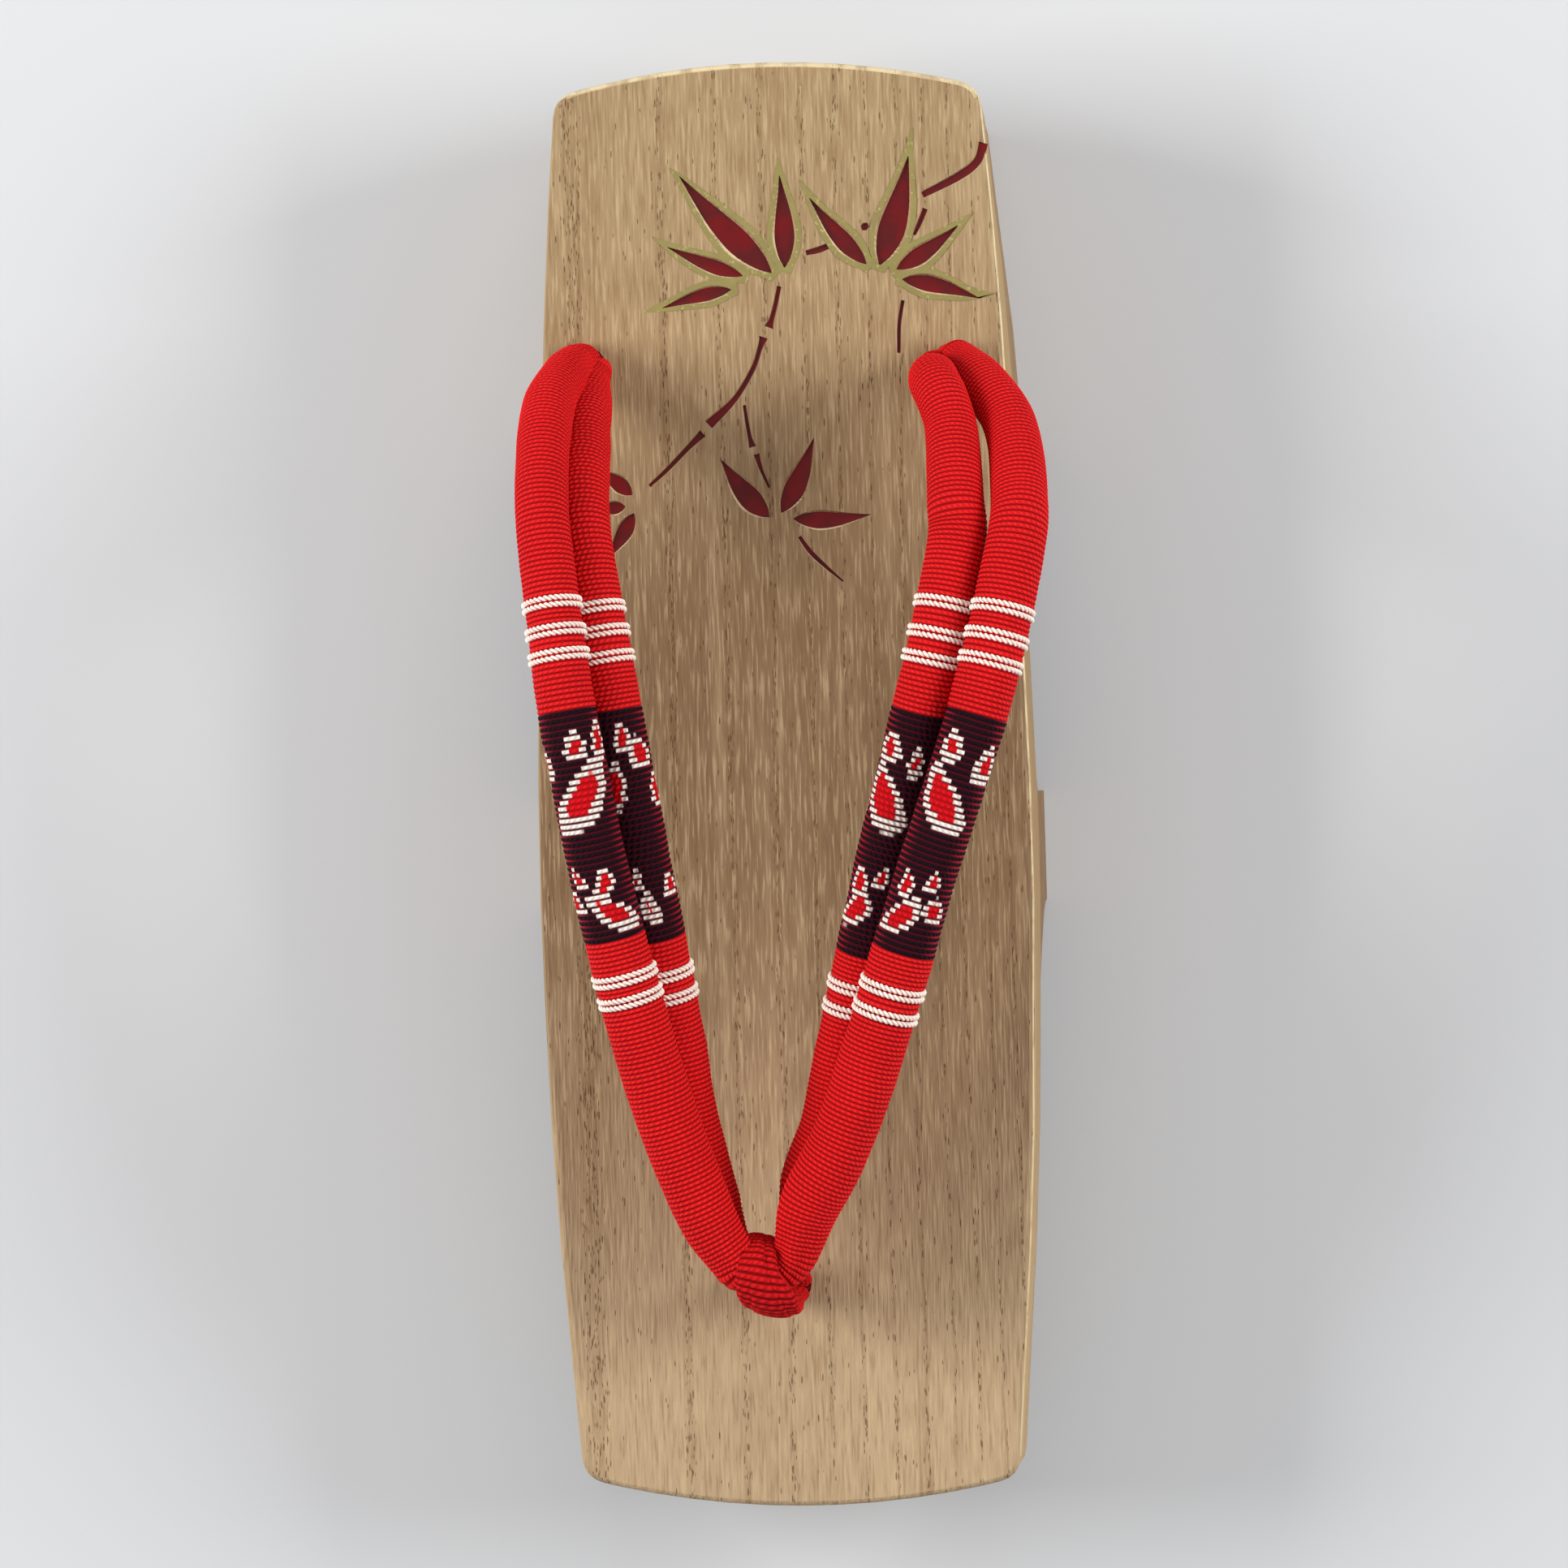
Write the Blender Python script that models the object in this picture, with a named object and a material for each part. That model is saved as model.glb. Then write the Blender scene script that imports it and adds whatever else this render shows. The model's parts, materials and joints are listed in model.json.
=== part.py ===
"""Wooden geta sandal for the left foot.

A board and two teeth are cut from one block. Padded double straps run from two rear holes to the front, where a toe
thong grips them, and plain knots hold the cords under the board.

Metres, +Z up. The heel is toward +Y, the toe toward -Y, and the wearer's big toe toward -X. The ground is Z = 0, and
the middle of the board is X = Y = 0.
"""

import math

import bmesh
import bpy
from mathutils import Vector

# Board
BOARD_LENGTH = 0.240
BOARD_WIDTH = 0.0819
BOARD_THICKNESS = 0.021
STAND_HEIGHT = 0.045
SIDE_FLARE = 0.0020
HEEL_ARC = 0.0048
TOE_ARC = 0.0047
TOE_SKEW = math.radians(1.1)
CORNER_RADIUS = 0.0035
DECK_EDGE_ROUND = 0.0008

# Teeth
HEEL_TOOTH_INSET = 0.0047
HEEL_TOOTH_LENGTH = 0.0540
TOE_TOOTH_FROM_TOE = 0.0855
TOE_TOOTH_TREAD = 0.0187
TOE_TOOTH_SLOPE = 0.0136
TOE_TOOTH_BULGE = 0.0016
COVE_RADIUS = 0.0040

# Holes for the cords. The rear ones lean, to come out ahead of the heel tooth.
REAR_HOLES_FROM_HEEL = 0.0526
REAR_HOLES_FROM_EDGE = 0.0083
REAR_HOLES_OFFSET = -0.0010
REAR_HOLES_STAGGER = 0.0015
REAR_HOLE_RADIUS = 0.0042
TOE_HOLE_FROM_TOE = 0.0372
TOE_HOLE_OFFSET = -0.0017
TOE_HOLE_RADIUS = 0.0042

# Straps
STRAP_RISE = 0.0400
STRAP_ROLL_RADIUS = 0.0050
STRAP_TURN_BACK = 0.0032
STRAP_TURN_ASIDE = -0.0012

# Thong
THONG_WIDTH = 0.0108
THONG_COVER = 0.0028
THONG_HEEL_LEG = 0.0022
THONG_TOE_LEG = 0.0036

# Knots
KNOT_RADIUS = 0.0056
KNOT_HEIGHT = 0.0075
KNOT_TO_TOOTH = 0.0008

# Fits
CLEARANCE = 0.0003
CORD_SLACK = 0.0014
THONG_SLACK = 0.0009
CUTTER_MARGIN = 0.004

# Smoothness
OUTLINE_STEPS = 12
ARC_STEPS = 4
EDGE_STEPS = 2
HOLE_SIDES = 20
LOBE_POINTS = 12
STRAP_STEPS = 4
BEND_STEPS = 3
THONG_SIDES = 24
KNOT_SIDES = 16
SHARP_ANGLE = math.radians(42)

# Places that follow from the sizes
HALF_LENGTH = BOARD_LENGTH / 2
UNDERSIDE = STAND_HEIGHT - BOARD_THICKNESS
HEEL_TOOTH_BACK = HALF_LENGTH - HEEL_ARC - HEEL_TOOTH_INSET
HEEL_TOOTH_FRONT = HEEL_TOOTH_BACK - HEEL_TOOTH_LENGTH
TOE_TOOTH_UNDERSIDE_END = -HALF_LENGTH + TOE_TOOTH_FROM_TOE
TOE_TOOTH_FRONT = TOE_TOOTH_UNDERSIDE_END + TOE_TOOTH_SLOPE
TOE_TOOTH_BACK = TOE_TOOTH_FRONT + TOE_TOOTH_TREAD
REAR_HOLES_Y = HALF_LENGTH - REAR_HOLES_FROM_HEEL
REAR_HOLES_FOOT_Y = HEEL_TOOTH_FRONT - KNOT_TO_TOOTH - KNOT_RADIUS
TOE_HOLE_Y = -HALF_LENGTH + TOE_HOLE_FROM_TOE
STRAP_CORD_RADIUS = REAR_HOLE_RADIUS - CORD_SLACK
THONG_CORD_RADIUS = TOE_HOLE_RADIUS - THONG_SLACK

# Plan of the board. Columns: share of its length from the toe, share of its widest width, share of the sides' flare.
PLAN_ROWS = (
    (0.00, 0.884, 1.00),
    (0.20, 0.965, 1.00),
    (0.34, 0.993, 1.00),
    (0.49, 1.000, 1.00),
    (0.78, 0.944, 1.00),
    (0.90, 0.907, 0.45),
    (1.00, 0.864, 0.15),
)

# One side of the straps, from its rear hole to the front. Columns: share of the run to the toe hole, place of the
# upper roll across as a share of half the board's width, its height over the deck as a share of STRAP_RISE, lean of
# the pair in degrees (0 is side by side, 90 is one over the other), roll radius as a share of STRAP_ROLL_RADIUS,
# distance between the rolls as a share of their diameter, and the turn of the pair in plan in degrees. The first row
# lies over the hole, and its radius is a share of STRAP_CORD_RADIUS.
BIG_TOE_SIDE_ROWS = (
    (-0.004, 0.755, 0.11, 50, 1.18, 0.62, 0),
    (0.010, 0.800, 0.27, 48, 0.77, 0.80, 0),
    (0.047, 0.872, 0.53, 45, 0.86, 0.93, 0),
    (0.120, 0.903, 0.79, 42, 0.86, 0.94, 0),
    (0.209, 0.879, 0.93, 42, 0.88, 0.94, 2),
    (0.366, 0.804, 1.00, 42, 0.95, 0.94, 9),
    (0.558, 0.673, 0.94, 48, 0.98, 0.94, 12),
    (0.733, 0.510, 0.83, 62, 1.02, 0.94, 16),
    (0.836, 0.388, 0.76, 74, 1.00, 0.90, 20),
    (0.918, 0.261, 0.70, 80, 0.96, 0.86, 34),
    (0.968, 0.149, 0.66, 82, 0.82, 0.84, 58),
)
LITTLE_TOE_SIDE_ROWS = (
    (-0.008, 0.738, 0.11, 36, 1.18, 0.66, 0),
    (0.018, 0.838, 0.38, 24, 0.82, 0.90, 0),
    (0.064, 0.950, 0.60, 14, 0.90, 0.96, 0),
    (0.131, 0.988, 0.80, 12, 0.95, 0.97, 0),
    (0.201, 0.967, 0.93, 18, 0.98, 0.97, 4),
    (0.360, 0.827, 1.00, 26, 0.99, 0.97, 18),
    (0.554, 0.597, 0.94, 46, 1.00, 0.94, 18),
    (0.731, 0.402, 0.83, 62, 1.02, 0.94, 18),
    (0.835, 0.269, 0.76, 74, 1.02, 0.90, 22),
    (0.902, 0.144, 0.70, 80, 1.00, 0.86, 32),
    (0.953, 0.090, 0.66, 82, 0.78, 0.84, 58),
)
# The turn at the front: share of STRAP_RISE, lean, roll radius share, distance share and turn, as above
TURN_ROW = (0.64, 84, 0.64, 0.84, 90)
# Share of the run over which the straps leave the rear holes' place
REAR_FADE = 0.15
# Where the straps narrow to their cord: lean of the pair, its distance share at the foot and at the mouth, and the
# radius of its bend at the mouth as a share of the cord's radius
CORD_LEAN = math.radians(45)
CORD_APART_FOOT = 0.05
CORD_APART_MOUTH = 0.38
CORD_BEND = 1.3
# The rolls of a pair never lie farther apart than this share of their diameter, so that they stay one body
MOST_APART = 0.97
# Rows of each side, counted from the front, that pass through the thong
ROWS_IN_THONG = 3

# Thong over the toe hole. Columns: share of its height over the deck, shares of its width and its length, and share
# of its lean toward the heel.
THONG_ROWS = (
    (0.16, 0.70, 0.66, 0.3),
    (0.34, 0.84, 0.86, 0.7),
    (0.52, 0.95, 0.98, 1.0),
    (0.72, 1.00, 1.00, 1.0),
    (0.86, 0.97, 0.95, 1.0),
    (0.94, 0.86, 0.80, 1.0),
    (0.985, 0.62, 0.56, 1.0),
    (1.00, 0.30, 0.26, 1.0),
)

# Knot from top to bottom: share of its height, share of its radius
KNOT_ROWS = (
    (0.00, 0.55),
    (0.10, 0.82),
    (0.28, 1.00),
    (0.46, 0.96),
    (0.56, 0.80),
    (0.66, 0.86),
    (0.82, 0.80),
    (0.95, 0.50),
)


def clear_scene():
    """Remove whatever objects the file opened with."""
    for obj in list(bpy.data.objects):
        bpy.data.objects.remove(obj, do_unlink=True)


def smooth(rows, share):
    """Read a table of rows at a share in its first column, along a smooth curve through them."""
    if share <= rows[0][0]:
        return rows[0][1:]
    if share >= rows[-1][0]:
        return rows[-1][1:]
    after = next(i for i, row in enumerate(rows) if row[0] >= share)
    left, right = rows[after - 1], rows[after]
    span = right[0] - left[0]
    t = (share - left[0]) / span

    def slope(index, column):
        low = rows[max(index - 1, 0)]
        high = rows[min(index + 1, len(rows) - 1)]
        return (high[column] - low[column]) / (high[0] - low[0])

    values = []
    for column in range(1, len(left)):
        start, end = left[column], right[column]
        m0 = slope(after - 1, column) * span
        m1 = slope(after, column) * span
        values.append(
            (2 * t**3 - 3 * t**2 + 1) * start
            + (t**3 - 2 * t**2 + t) * m0
            + (3 * t**2 - 2 * t**3) * end
            + (t**3 - t**2) * m1
        )
    return tuple(values)


def half_width(share):
    """Half the deck's width at a share of the board's length from the toe."""
    return smooth(PLAN_ROWS, share)[0] * BOARD_WIDTH / 2


def toe_end(x):
    """Y of the chord of the toe's end, which is cut a little askew."""
    return -HALF_LENGTH + TOE_ARC - x * math.tan(TOE_SKEW)


def rounded(corner, before, after, radius):
    """Points of a round corner between two neighbours of the corner."""
    start = corner + (before - corner).normalized() * radius
    end = corner + (after - corner).normalized() * radius
    points = []
    for step in range(ARC_STEPS + 1):
        t = step / ARC_STEPS
        points.append(start * (1 - t) ** 2 + corner * 2 * t * (1 - t) + end * t**2)
    return points


def end_arc(half_chord, rise):
    """Points of a shallow arc over a chord, from its right end to its left end, without the ends."""
    points = []
    for step in range(1, OUTLINE_STEPS):
        x = half_chord * (1 - 2 * step / OUTLINE_STEPS)
        points.append((x, rise * (1 - (x / half_chord) ** 2)))
    return points


def deck_outline():
    """The board's outline at the deck, counter-clockwise from its toe corner on the +X side."""
    heel_y = HALF_LENGTH - HEEL_ARC

    def side(sign):
        points = []
        for step in range(OUTLINE_STEPS + 1):
            share = step / OUTLINE_STEPS
            x = sign * half_width(share)
            points.append(Vector((x, toe_end(x) + (heel_y - toe_end(x)) * share)))
        return points

    right = side(1)
    left = side(-1)[::-1]
    heel = [Vector((x, heel_y + rise)) for x, rise in end_arc(half_width(1), HEEL_ARC)]
    toe = [Vector((-x, toe_end(-x) - rise)) for x, rise in end_arc(half_width(0), TOE_ARC)]
    points = rounded(right[0], toe[-1], right[1], CORNER_RADIUS)
    points += right[1:-1]
    points += rounded(right[-1], right[-2], heel[0], CORNER_RADIUS)
    points += heel
    points += rounded(left[0], heel[-1], left[1], CORNER_RADIUS)
    points += left[1:-1]
    points += rounded(left[-1], left[-2], toe[0], CORNER_RADIUS)
    points += toe
    return points


def inset(outline, distance):
    """An outline moved inward by a distance, point by point."""
    moved = []
    for index, point in enumerate(outline):
        along = outline[(index + 1) % len(outline)] - outline[index - 1]
        inward = Vector((-along.y, along.x)).normalized()
        moved.append(point + inward * distance)
    return moved


def flared(outline, z):
    """An outline as a ring at height z, wider toward the ground by the flare of the sides."""
    ring = []
    for point in outline:
        flare = smooth(PLAN_ROWS, point.y / BOARD_LENGTH + 0.5)[1] * SIDE_FLARE
        growth = 1 + flare * (1 - z / STAND_HEIGHT) / (BOARD_WIDTH / 2)
        ring.append(Vector((point.x * growth, point.y, z)))
    return ring


def material(name, colour, roughness):
    """A plain Principled material."""
    made = bpy.data.materials.new(name)
    made.use_nodes = True
    shader = made.node_tree.nodes["Principled BSDF"]
    shader.inputs["Base Color"].default_value = (*colour, 1)
    shader.inputs["Roughness"].default_value = roughness
    shader.inputs["Metallic"].default_value = 0
    return made


def add_object(name, mesh, finish=None):
    """Link a mesh as an object, shaded smooth apart from its sharp edges."""
    mesh.shade_smooth()
    mesh.set_sharp_from_angle(angle=SHARP_ANGLE)
    obj = bpy.data.objects.new(name, mesh)
    bpy.context.scene.collection.objects.link(obj)
    if finish:
        mesh.materials.append(finish)
    return obj


def loft(name, rings):
    """Closed mesh through rings of equal length, capped at both ends."""
    mesh = bpy.data.meshes.new(name)
    build = bmesh.new()
    loops = [[build.verts.new(point) for point in ring] for ring in rings]
    count = len(loops[0])
    for near, far in zip(loops, loops[1:]):
        for i in range(count):
            j = (i + 1) % count
            build.faces.new((near[i], near[j], far[j], far[i]))
    build.faces.new(reversed(loops[0]))
    build.faces.new(loops[-1])
    bmesh.ops.recalc_face_normals(build, faces=build.faces)
    build.to_mesh(mesh)
    build.free()
    return mesh


def cut(target, name, mesh):
    """Subtract a mesh from an object, and shade what is left sharp at its new edges."""
    cutter = add_object(name, mesh)
    modifier = target.modifiers.new(name, "BOOLEAN")
    modifier.operation = "DIFFERENCE"
    modifier.solver = "EXACT"
    modifier.object = cutter
    evaluated = target.evaluated_get(bpy.context.evaluated_depsgraph_get())
    target.data = bpy.data.meshes.new_from_object(evaluated)
    target.data.name = target.name
    target.modifiers.clear()
    bpy.data.objects.remove(cutter)
    target.data.set_sharp_from_angle(angle=SHARP_ANGLE)


def across(name, profile):
    """Prism of a side profile, given as (y, z) points, right across the board and past both its sides."""
    reach = BOARD_WIDTH / 2 + SIDE_FLARE + CUTTER_MARGIN
    sides = [[Vector((x, y, z)) for y, z in profile] for x in (-reach, reach)]
    return loft(name, sides)


def cove(y, z, toward_y):
    """Points of a hollow corner below height z, from the wall at y round to the flat that leads toward toward_y."""
    direction = 1 if toward_y > y else -1
    points = []
    for step in range(ARC_STEPS + 1):
        angle = math.pi / 2 * step / ARC_STEPS
        points.append(
            (
                y + direction * COVE_RADIUS * (1 - math.cos(angle)),
                z - COVE_RADIUS * (1 - math.sin(angle)),
            )
        )
    return points


def gap_profile():
    """Side profile of the space between the teeth."""
    profile = [(TOE_TOOTH_BACK, -CUTTER_MARGIN), (HEEL_TOOTH_FRONT, -CUTTER_MARGIN)]
    profile += cove(HEEL_TOOTH_FRONT, UNDERSIDE, TOE_TOOTH_BACK)
    profile += reversed(cove(TOE_TOOTH_BACK, UNDERSIDE, HEEL_TOOTH_FRONT))
    return profile


def toe_profile():
    """Side profile of the space under the toe, with the toe tooth's curved front."""
    past_toe = -HALF_LENGTH - CUTTER_MARGIN
    profile = [(past_toe, -CUTTER_MARGIN), (TOE_TOOTH_FRONT, -CUTTER_MARGIN), (TOE_TOOTH_FRONT, 0)]
    for step in range(1, ARC_STEPS * 2):
        share = step / (ARC_STEPS * 2)
        slope = TOE_TOOTH_FRONT - TOE_TOOTH_SLOPE * share**1.5
        profile.append((slope + TOE_TOOTH_BULGE * math.sin(math.pi * share), UNDERSIDE * share))
    profile += [(TOE_TOOTH_UNDERSIDE_END, UNDERSIDE), (past_toe, UNDERSIDE)]
    return profile


def heel_profile():
    """Side profile of the space behind the heel tooth, under the end of the board."""
    past_heel = HALF_LENGTH + CUTTER_MARGIN
    profile = [(past_heel, UNDERSIDE), (past_heel, -CUTTER_MARGIN), (HEEL_TOOTH_BACK, -CUTTER_MARGIN)]
    profile += cove(HEEL_TOOTH_BACK, UNDERSIDE, past_heel)
    return profile


def ring_about(centre, first, second, radius):
    """A ring of points about a centre, in the plane of two directions."""
    points = []
    for side in range(HOLE_SIDES):
        angle = 2 * math.pi * side / HOLE_SIDES
        points.append(centre + first * radius * math.cos(angle) + second * radius * math.sin(angle))
    return points


def drill(name, mouth, down, radius):
    """Cylinder from above a hole's mouth along its direction to below the board."""
    first = Vector((1, 0, 0))
    second = down.cross(first).normalized()
    start = mouth - down * (CUTTER_MARGIN / -down.z)
    end = mouth + down * ((BOARD_THICKNESS + CUTTER_MARGIN) / -down.z)
    return loft(name, [ring_about(start, first, second, radius), ring_about(end, first, second, radius)])


def rear_hole_mouth(side):
    """Centre of a rear hole at the deck, with side -1 for the big toe's side and +1 for the other."""
    from_edge = half_width(REAR_HOLES_Y / BOARD_LENGTH + 0.5) - REAR_HOLES_FROM_EDGE
    return Vector(
        (
            side * from_edge + REAR_HOLES_OFFSET,
            REAR_HOLES_Y - side * REAR_HOLES_STAGGER / 2,
            STAND_HEIGHT,
        )
    )


def rear_hole_foot(side):
    """Centre of a rear hole at the underside of the board."""
    return Vector((rear_hole_mouth(side).x, REAR_HOLES_FOOT_Y, UNDERSIDE))


def rear_hole_down(side):
    """Direction of a rear hole down through the board."""
    return (rear_hole_foot(side) - rear_hole_mouth(side)).normalized()


def toe_hole_mouth():
    """Centre of the toe hole at the deck."""
    return Vector((TOE_HOLE_OFFSET, TOE_HOLE_Y, STAND_HEIGHT))


def build_sole():
    """The board with its two teeth, one block of wood."""
    outline = deck_outline()
    rings = [flared(outline, 0)]
    for step in range(EDGE_STEPS + 1):
        angle = math.pi / 2 * step / EDGE_STEPS
        inward = DECK_EDGE_ROUND * (1 - math.cos(angle))
        down = DECK_EDGE_ROUND * (1 - math.sin(angle))
        rings.append(flared(inset(outline, inward), STAND_HEIGHT - down))
    wood = material("paulownia_wood", (0.40, 0.27, 0.15), 0.6)
    sole = add_object("sole", loft("sole", rings), wood)
    cut(sole, "gap_between_teeth", across("gap_between_teeth", gap_profile()))
    cut(sole, "space_under_toe", across("space_under_toe", toe_profile()))
    cut(sole, "space_behind_heel", across("space_behind_heel", heel_profile()))
    for name, side in (("rear_hole_big_toe", -1), ("rear_hole_little_toe", 1)):
        cut(sole, name, drill(name, rear_hole_mouth(side), rear_hole_down(side), REAR_HOLE_RADIUS))
    cut(sole, "toe_hole", drill("toe_hole", toe_hole_mouth(), Vector((0, 0, -1)), TOE_HOLE_RADIUS))


def pair_ring(upper, tangent, turn, lean, radius, apart):
    """Outline of two rolls sewn side by side: an eight about the upper roll's centre and its partner's.

    The turn is the inward direction in plan, and the lean tips the partner down from it.
    """
    inward = Vector((math.cos(turn), math.sin(turn), 0))
    inward = (inward - tangent * inward.dot(tangent)).normalized()
    downward = inward.cross(tangent)
    toward = inward * math.cos(lean) + downward * math.sin(lean)
    sideways = toward.cross(tangent).normalized()
    reach = min(apart, MOST_APART) * radius
    waist = math.acos(reach / radius)
    middle = upper + toward * reach
    ring = []
    for centre, facing in ((reach, 0), (-reach, math.pi)):
        sweep = 2 * (math.pi - waist)
        for step in range(LOBE_POINTS - 1):
            angle = facing - sweep / 2 + sweep * step / (LOBE_POINTS - 1)
            along = centre + radius * math.cos(angle)
            ring.append(middle + toward * along + sideways * radius * math.sin(angle))
    return ring


def cord_sections(side, level):
    """Sections of the round cord, from the foot of its rear hole up and over the bend at the mouth."""
    down = rear_hole_down(side)
    lean = math.atan2(-down.y, -down.z)
    slack = REAR_HOLE_RADIUS - STRAP_CORD_RADIUS - CLEARANCE
    toward_heel = Vector((0, slack / -down.z, 0))
    above_knot = STRAP_CORD_RADIUS * math.sin(lean) + CLEARANCE
    foot = rear_hole_foot(side) + toward_heel - down * (above_knot / -down.z)
    bend_start = rear_hole_mouth(side) + toward_heel + down * (STRAP_CORD_RADIUS / 2)
    centres = [foot, foot.lerp(bend_start, 0.5), bend_start]
    bend = STRAP_CORD_RADIUS * CORD_BEND
    pivot = bend_start + Vector((0, down.z, -down.y)) * bend
    for step in range(1, BEND_STEPS + 1):
        angle = lean * (1 - step / BEND_STEPS)
        centres.append(pivot + Vector((0, math.cos(angle), -math.sin(angle))) * bend)
    sections = []
    for index, centre in enumerate(centres):
        apart = CORD_APART_FOOT + (CORD_APART_MOUTH - CORD_APART_FOOT) * index / (len(centres) - 1)
        sections.append((centre, level, CORD_LEAN, STRAP_CORD_RADIUS, apart))
    return sections


def side_sections(rows, side):
    """Sections of one side of the straps, from the foot of its rear hole to the front."""
    level = math.pi if side > 0 else 0.0
    sections = cord_sections(side, level)
    table = [(index, *row[:4], row[4] * STRAP_ROLL_RADIUS, *row[5:]) for index, row in enumerate(rows)]
    table[0] = (0, *rows[0][:4], rows[0][4] * STRAP_CORD_RADIUS, *rows[0][5:])
    first_share, first_across = rows[0][0], rows[0][1]
    mouth = rear_hole_mouth(side)
    run = mouth.y - TOE_HOLE_Y
    to_hole = side * mouth.x + STRAP_CORD_RADIUS / 2 - first_across * BOARD_WIDTH / 2
    to_thong = TOE_HOLE_OFFSET + STRAP_TURN_ASIDE
    for step in range((len(rows) - 1) * STRAP_STEPS + 1):
        share, across, rise, lean, radius, apart, turn = smooth(table, step / STRAP_STEPS)
        fade = max(0, 1 - (share - first_share) / REAR_FADE)
        reach = across * BOARD_WIDTH / 2 + to_hole * fade**2
        point = Vector(
            (
                to_thong * share**2 + side * reach,
                mouth.y - run * share,
                STAND_HEIGHT + STRAP_RISE * rise,
            )
        )
        sections.append((point, level - side * math.radians(turn), math.radians(lean), radius, apart))
    return sections


def strap_sections():
    """Sections of the straps from the big toe side's hole round the front to the little toe side's hole."""
    first = side_sections(BIG_TOE_SIDE_ROWS, -1)
    second = side_sections(LITTLE_TOE_SIDE_ROWS, 1)
    rise, lean, radius, apart, turn = TURN_ROW
    front = toe_hole_mouth() + Vector((STRAP_TURN_ASIDE, STRAP_TURN_BACK, STRAP_RISE * rise))
    middle = (front, math.radians(turn), math.radians(lean), STRAP_ROLL_RADIUS * radius, apart)
    return first + [middle] + second[::-1]


def strap_rings(sections, growth=0.0):
    """Rings of the straps through their sections, each swollen by a growth."""
    rings = []
    for index, (point, turn, lean, radius, apart) in enumerate(sections):
        before = sections[max(index - 1, 0)][0]
        after = sections[min(index + 1, len(sections) - 1)][0]
        tangent = (after - before).normalized()
        swollen = radius + growth
        rings.append(pair_ring(point, tangent, turn, lean, swollen, apart * radius / swollen))
    return rings


def build_upper():
    """Both straps, joined where they turn under the thong."""
    cloth = material("ribbed_red_cloth", (0.75, 0.02, 0.02), 0.75)
    add_object("upper_straps", loft("upper_straps", strap_rings(strap_sections())), cloth)


def thong_ring(centre, half_x, half_y):
    """One level ring of the thong."""
    points = []
    for side in range(THONG_SIDES):
        angle = 2 * math.pi * side / THONG_SIDES
        points.append(centre + Vector((half_x * math.cos(angle), half_y * math.sin(angle), 0)))
    return points


def build_thong():
    """The loop that rises from the toe hole and closes over the straps."""
    mouth = toe_hole_mouth()
    turn_rise, turn_radius = STRAP_RISE * TURN_ROW[0], STRAP_ROLL_RADIUS * TURN_ROW[2]
    way = turn_radius + CLEARANCE
    length = THONG_HEEL_LEG + THONG_TOE_LEG + way * 2
    height = turn_rise + way + THONG_COVER
    lean = Vector((STRAP_TURN_ASIDE, STRAP_TURN_BACK + (THONG_HEEL_LEG - THONG_TOE_LEG) / 2, 0))
    foot = mouth - Vector((0, 0, BOARD_THICKNESS - CLEARANCE))
    rings = [thong_ring(centre, THONG_CORD_RADIUS, THONG_CORD_RADIUS) for centre in (foot, mouth)]
    for share, wide, long, leaning in THONG_ROWS:
        centre = mouth + lean * leaning + Vector((0, 0, height * share))
        rings.append(thong_ring(centre, THONG_WIDTH / 2 * wide, length / 2 * long))
    cloth = material("thong_cloth", (0.62, 0.02, 0.02), 0.75)
    thong = add_object("toe_thong", loft("toe_thong", rings), cloth)
    sections = strap_sections()
    middle = len(sections) // 2
    reach = ROWS_IN_THONG * STRAP_STEPS
    front = strap_rings(sections, CLEARANCE)[middle - reach : middle + reach + 1]
    cut(thong, "way_for_the_straps", loft("way_for_the_straps", front))


def build_knot(name, under):
    """A plain knot that a cord is tied off with under the board."""
    top = under - Vector((0, 0, CLEARANCE))
    rings = []
    for down, wide in KNOT_ROWS:
        centre = top - Vector((0, 0, KNOT_HEIGHT * down))
        rings.append([
            centre + Vector((math.cos(angle), math.sin(angle), 0)) * KNOT_RADIUS * wide
            for angle in (2 * math.pi * side / KNOT_SIDES for side in range(KNOT_SIDES))
        ])
    cord = material(name + "_cord", (0.55, 0.03, 0.03), 0.8)
    add_object(name, loft(name, rings), cord)


def build_knots():
    """One knot under each hole."""
    for name, side in (("rear_knot_big_toe", -1), ("rear_knot_little_toe", 1)):
        build_knot(name, rear_hole_foot(side))
    build_knot("front_knot", toe_hole_mouth() - Vector((0, 0, BOARD_THICKNESS)))


def main():
    clear_scene()
    build_sole()
    build_upper()
    build_thong()
    build_knots()


main()
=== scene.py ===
"""Looks of a wooden geta sandal for the left foot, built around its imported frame.

The board keeps the frame's shape and gets its carved and lacquered bamboo. The straps are four padded
rolls of ribbed cloth with a woven band and white cords, gripped by a ribbed toe thong and knotted under
the board.

Metres, +Z up. The heel is toward +Y, the toe toward -Y, and the wearer's big toe toward -X. The ground is
Z = 0.
"""

from __future__ import annotations

import json
import logging
import math
from collections.abc import Iterable, Sequence
from dataclasses import dataclass, field, replace
from enum import Enum
from typing import Any

import bmesh
import bpy
import numpy as np
from mathutils import Matrix, Vector

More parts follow.
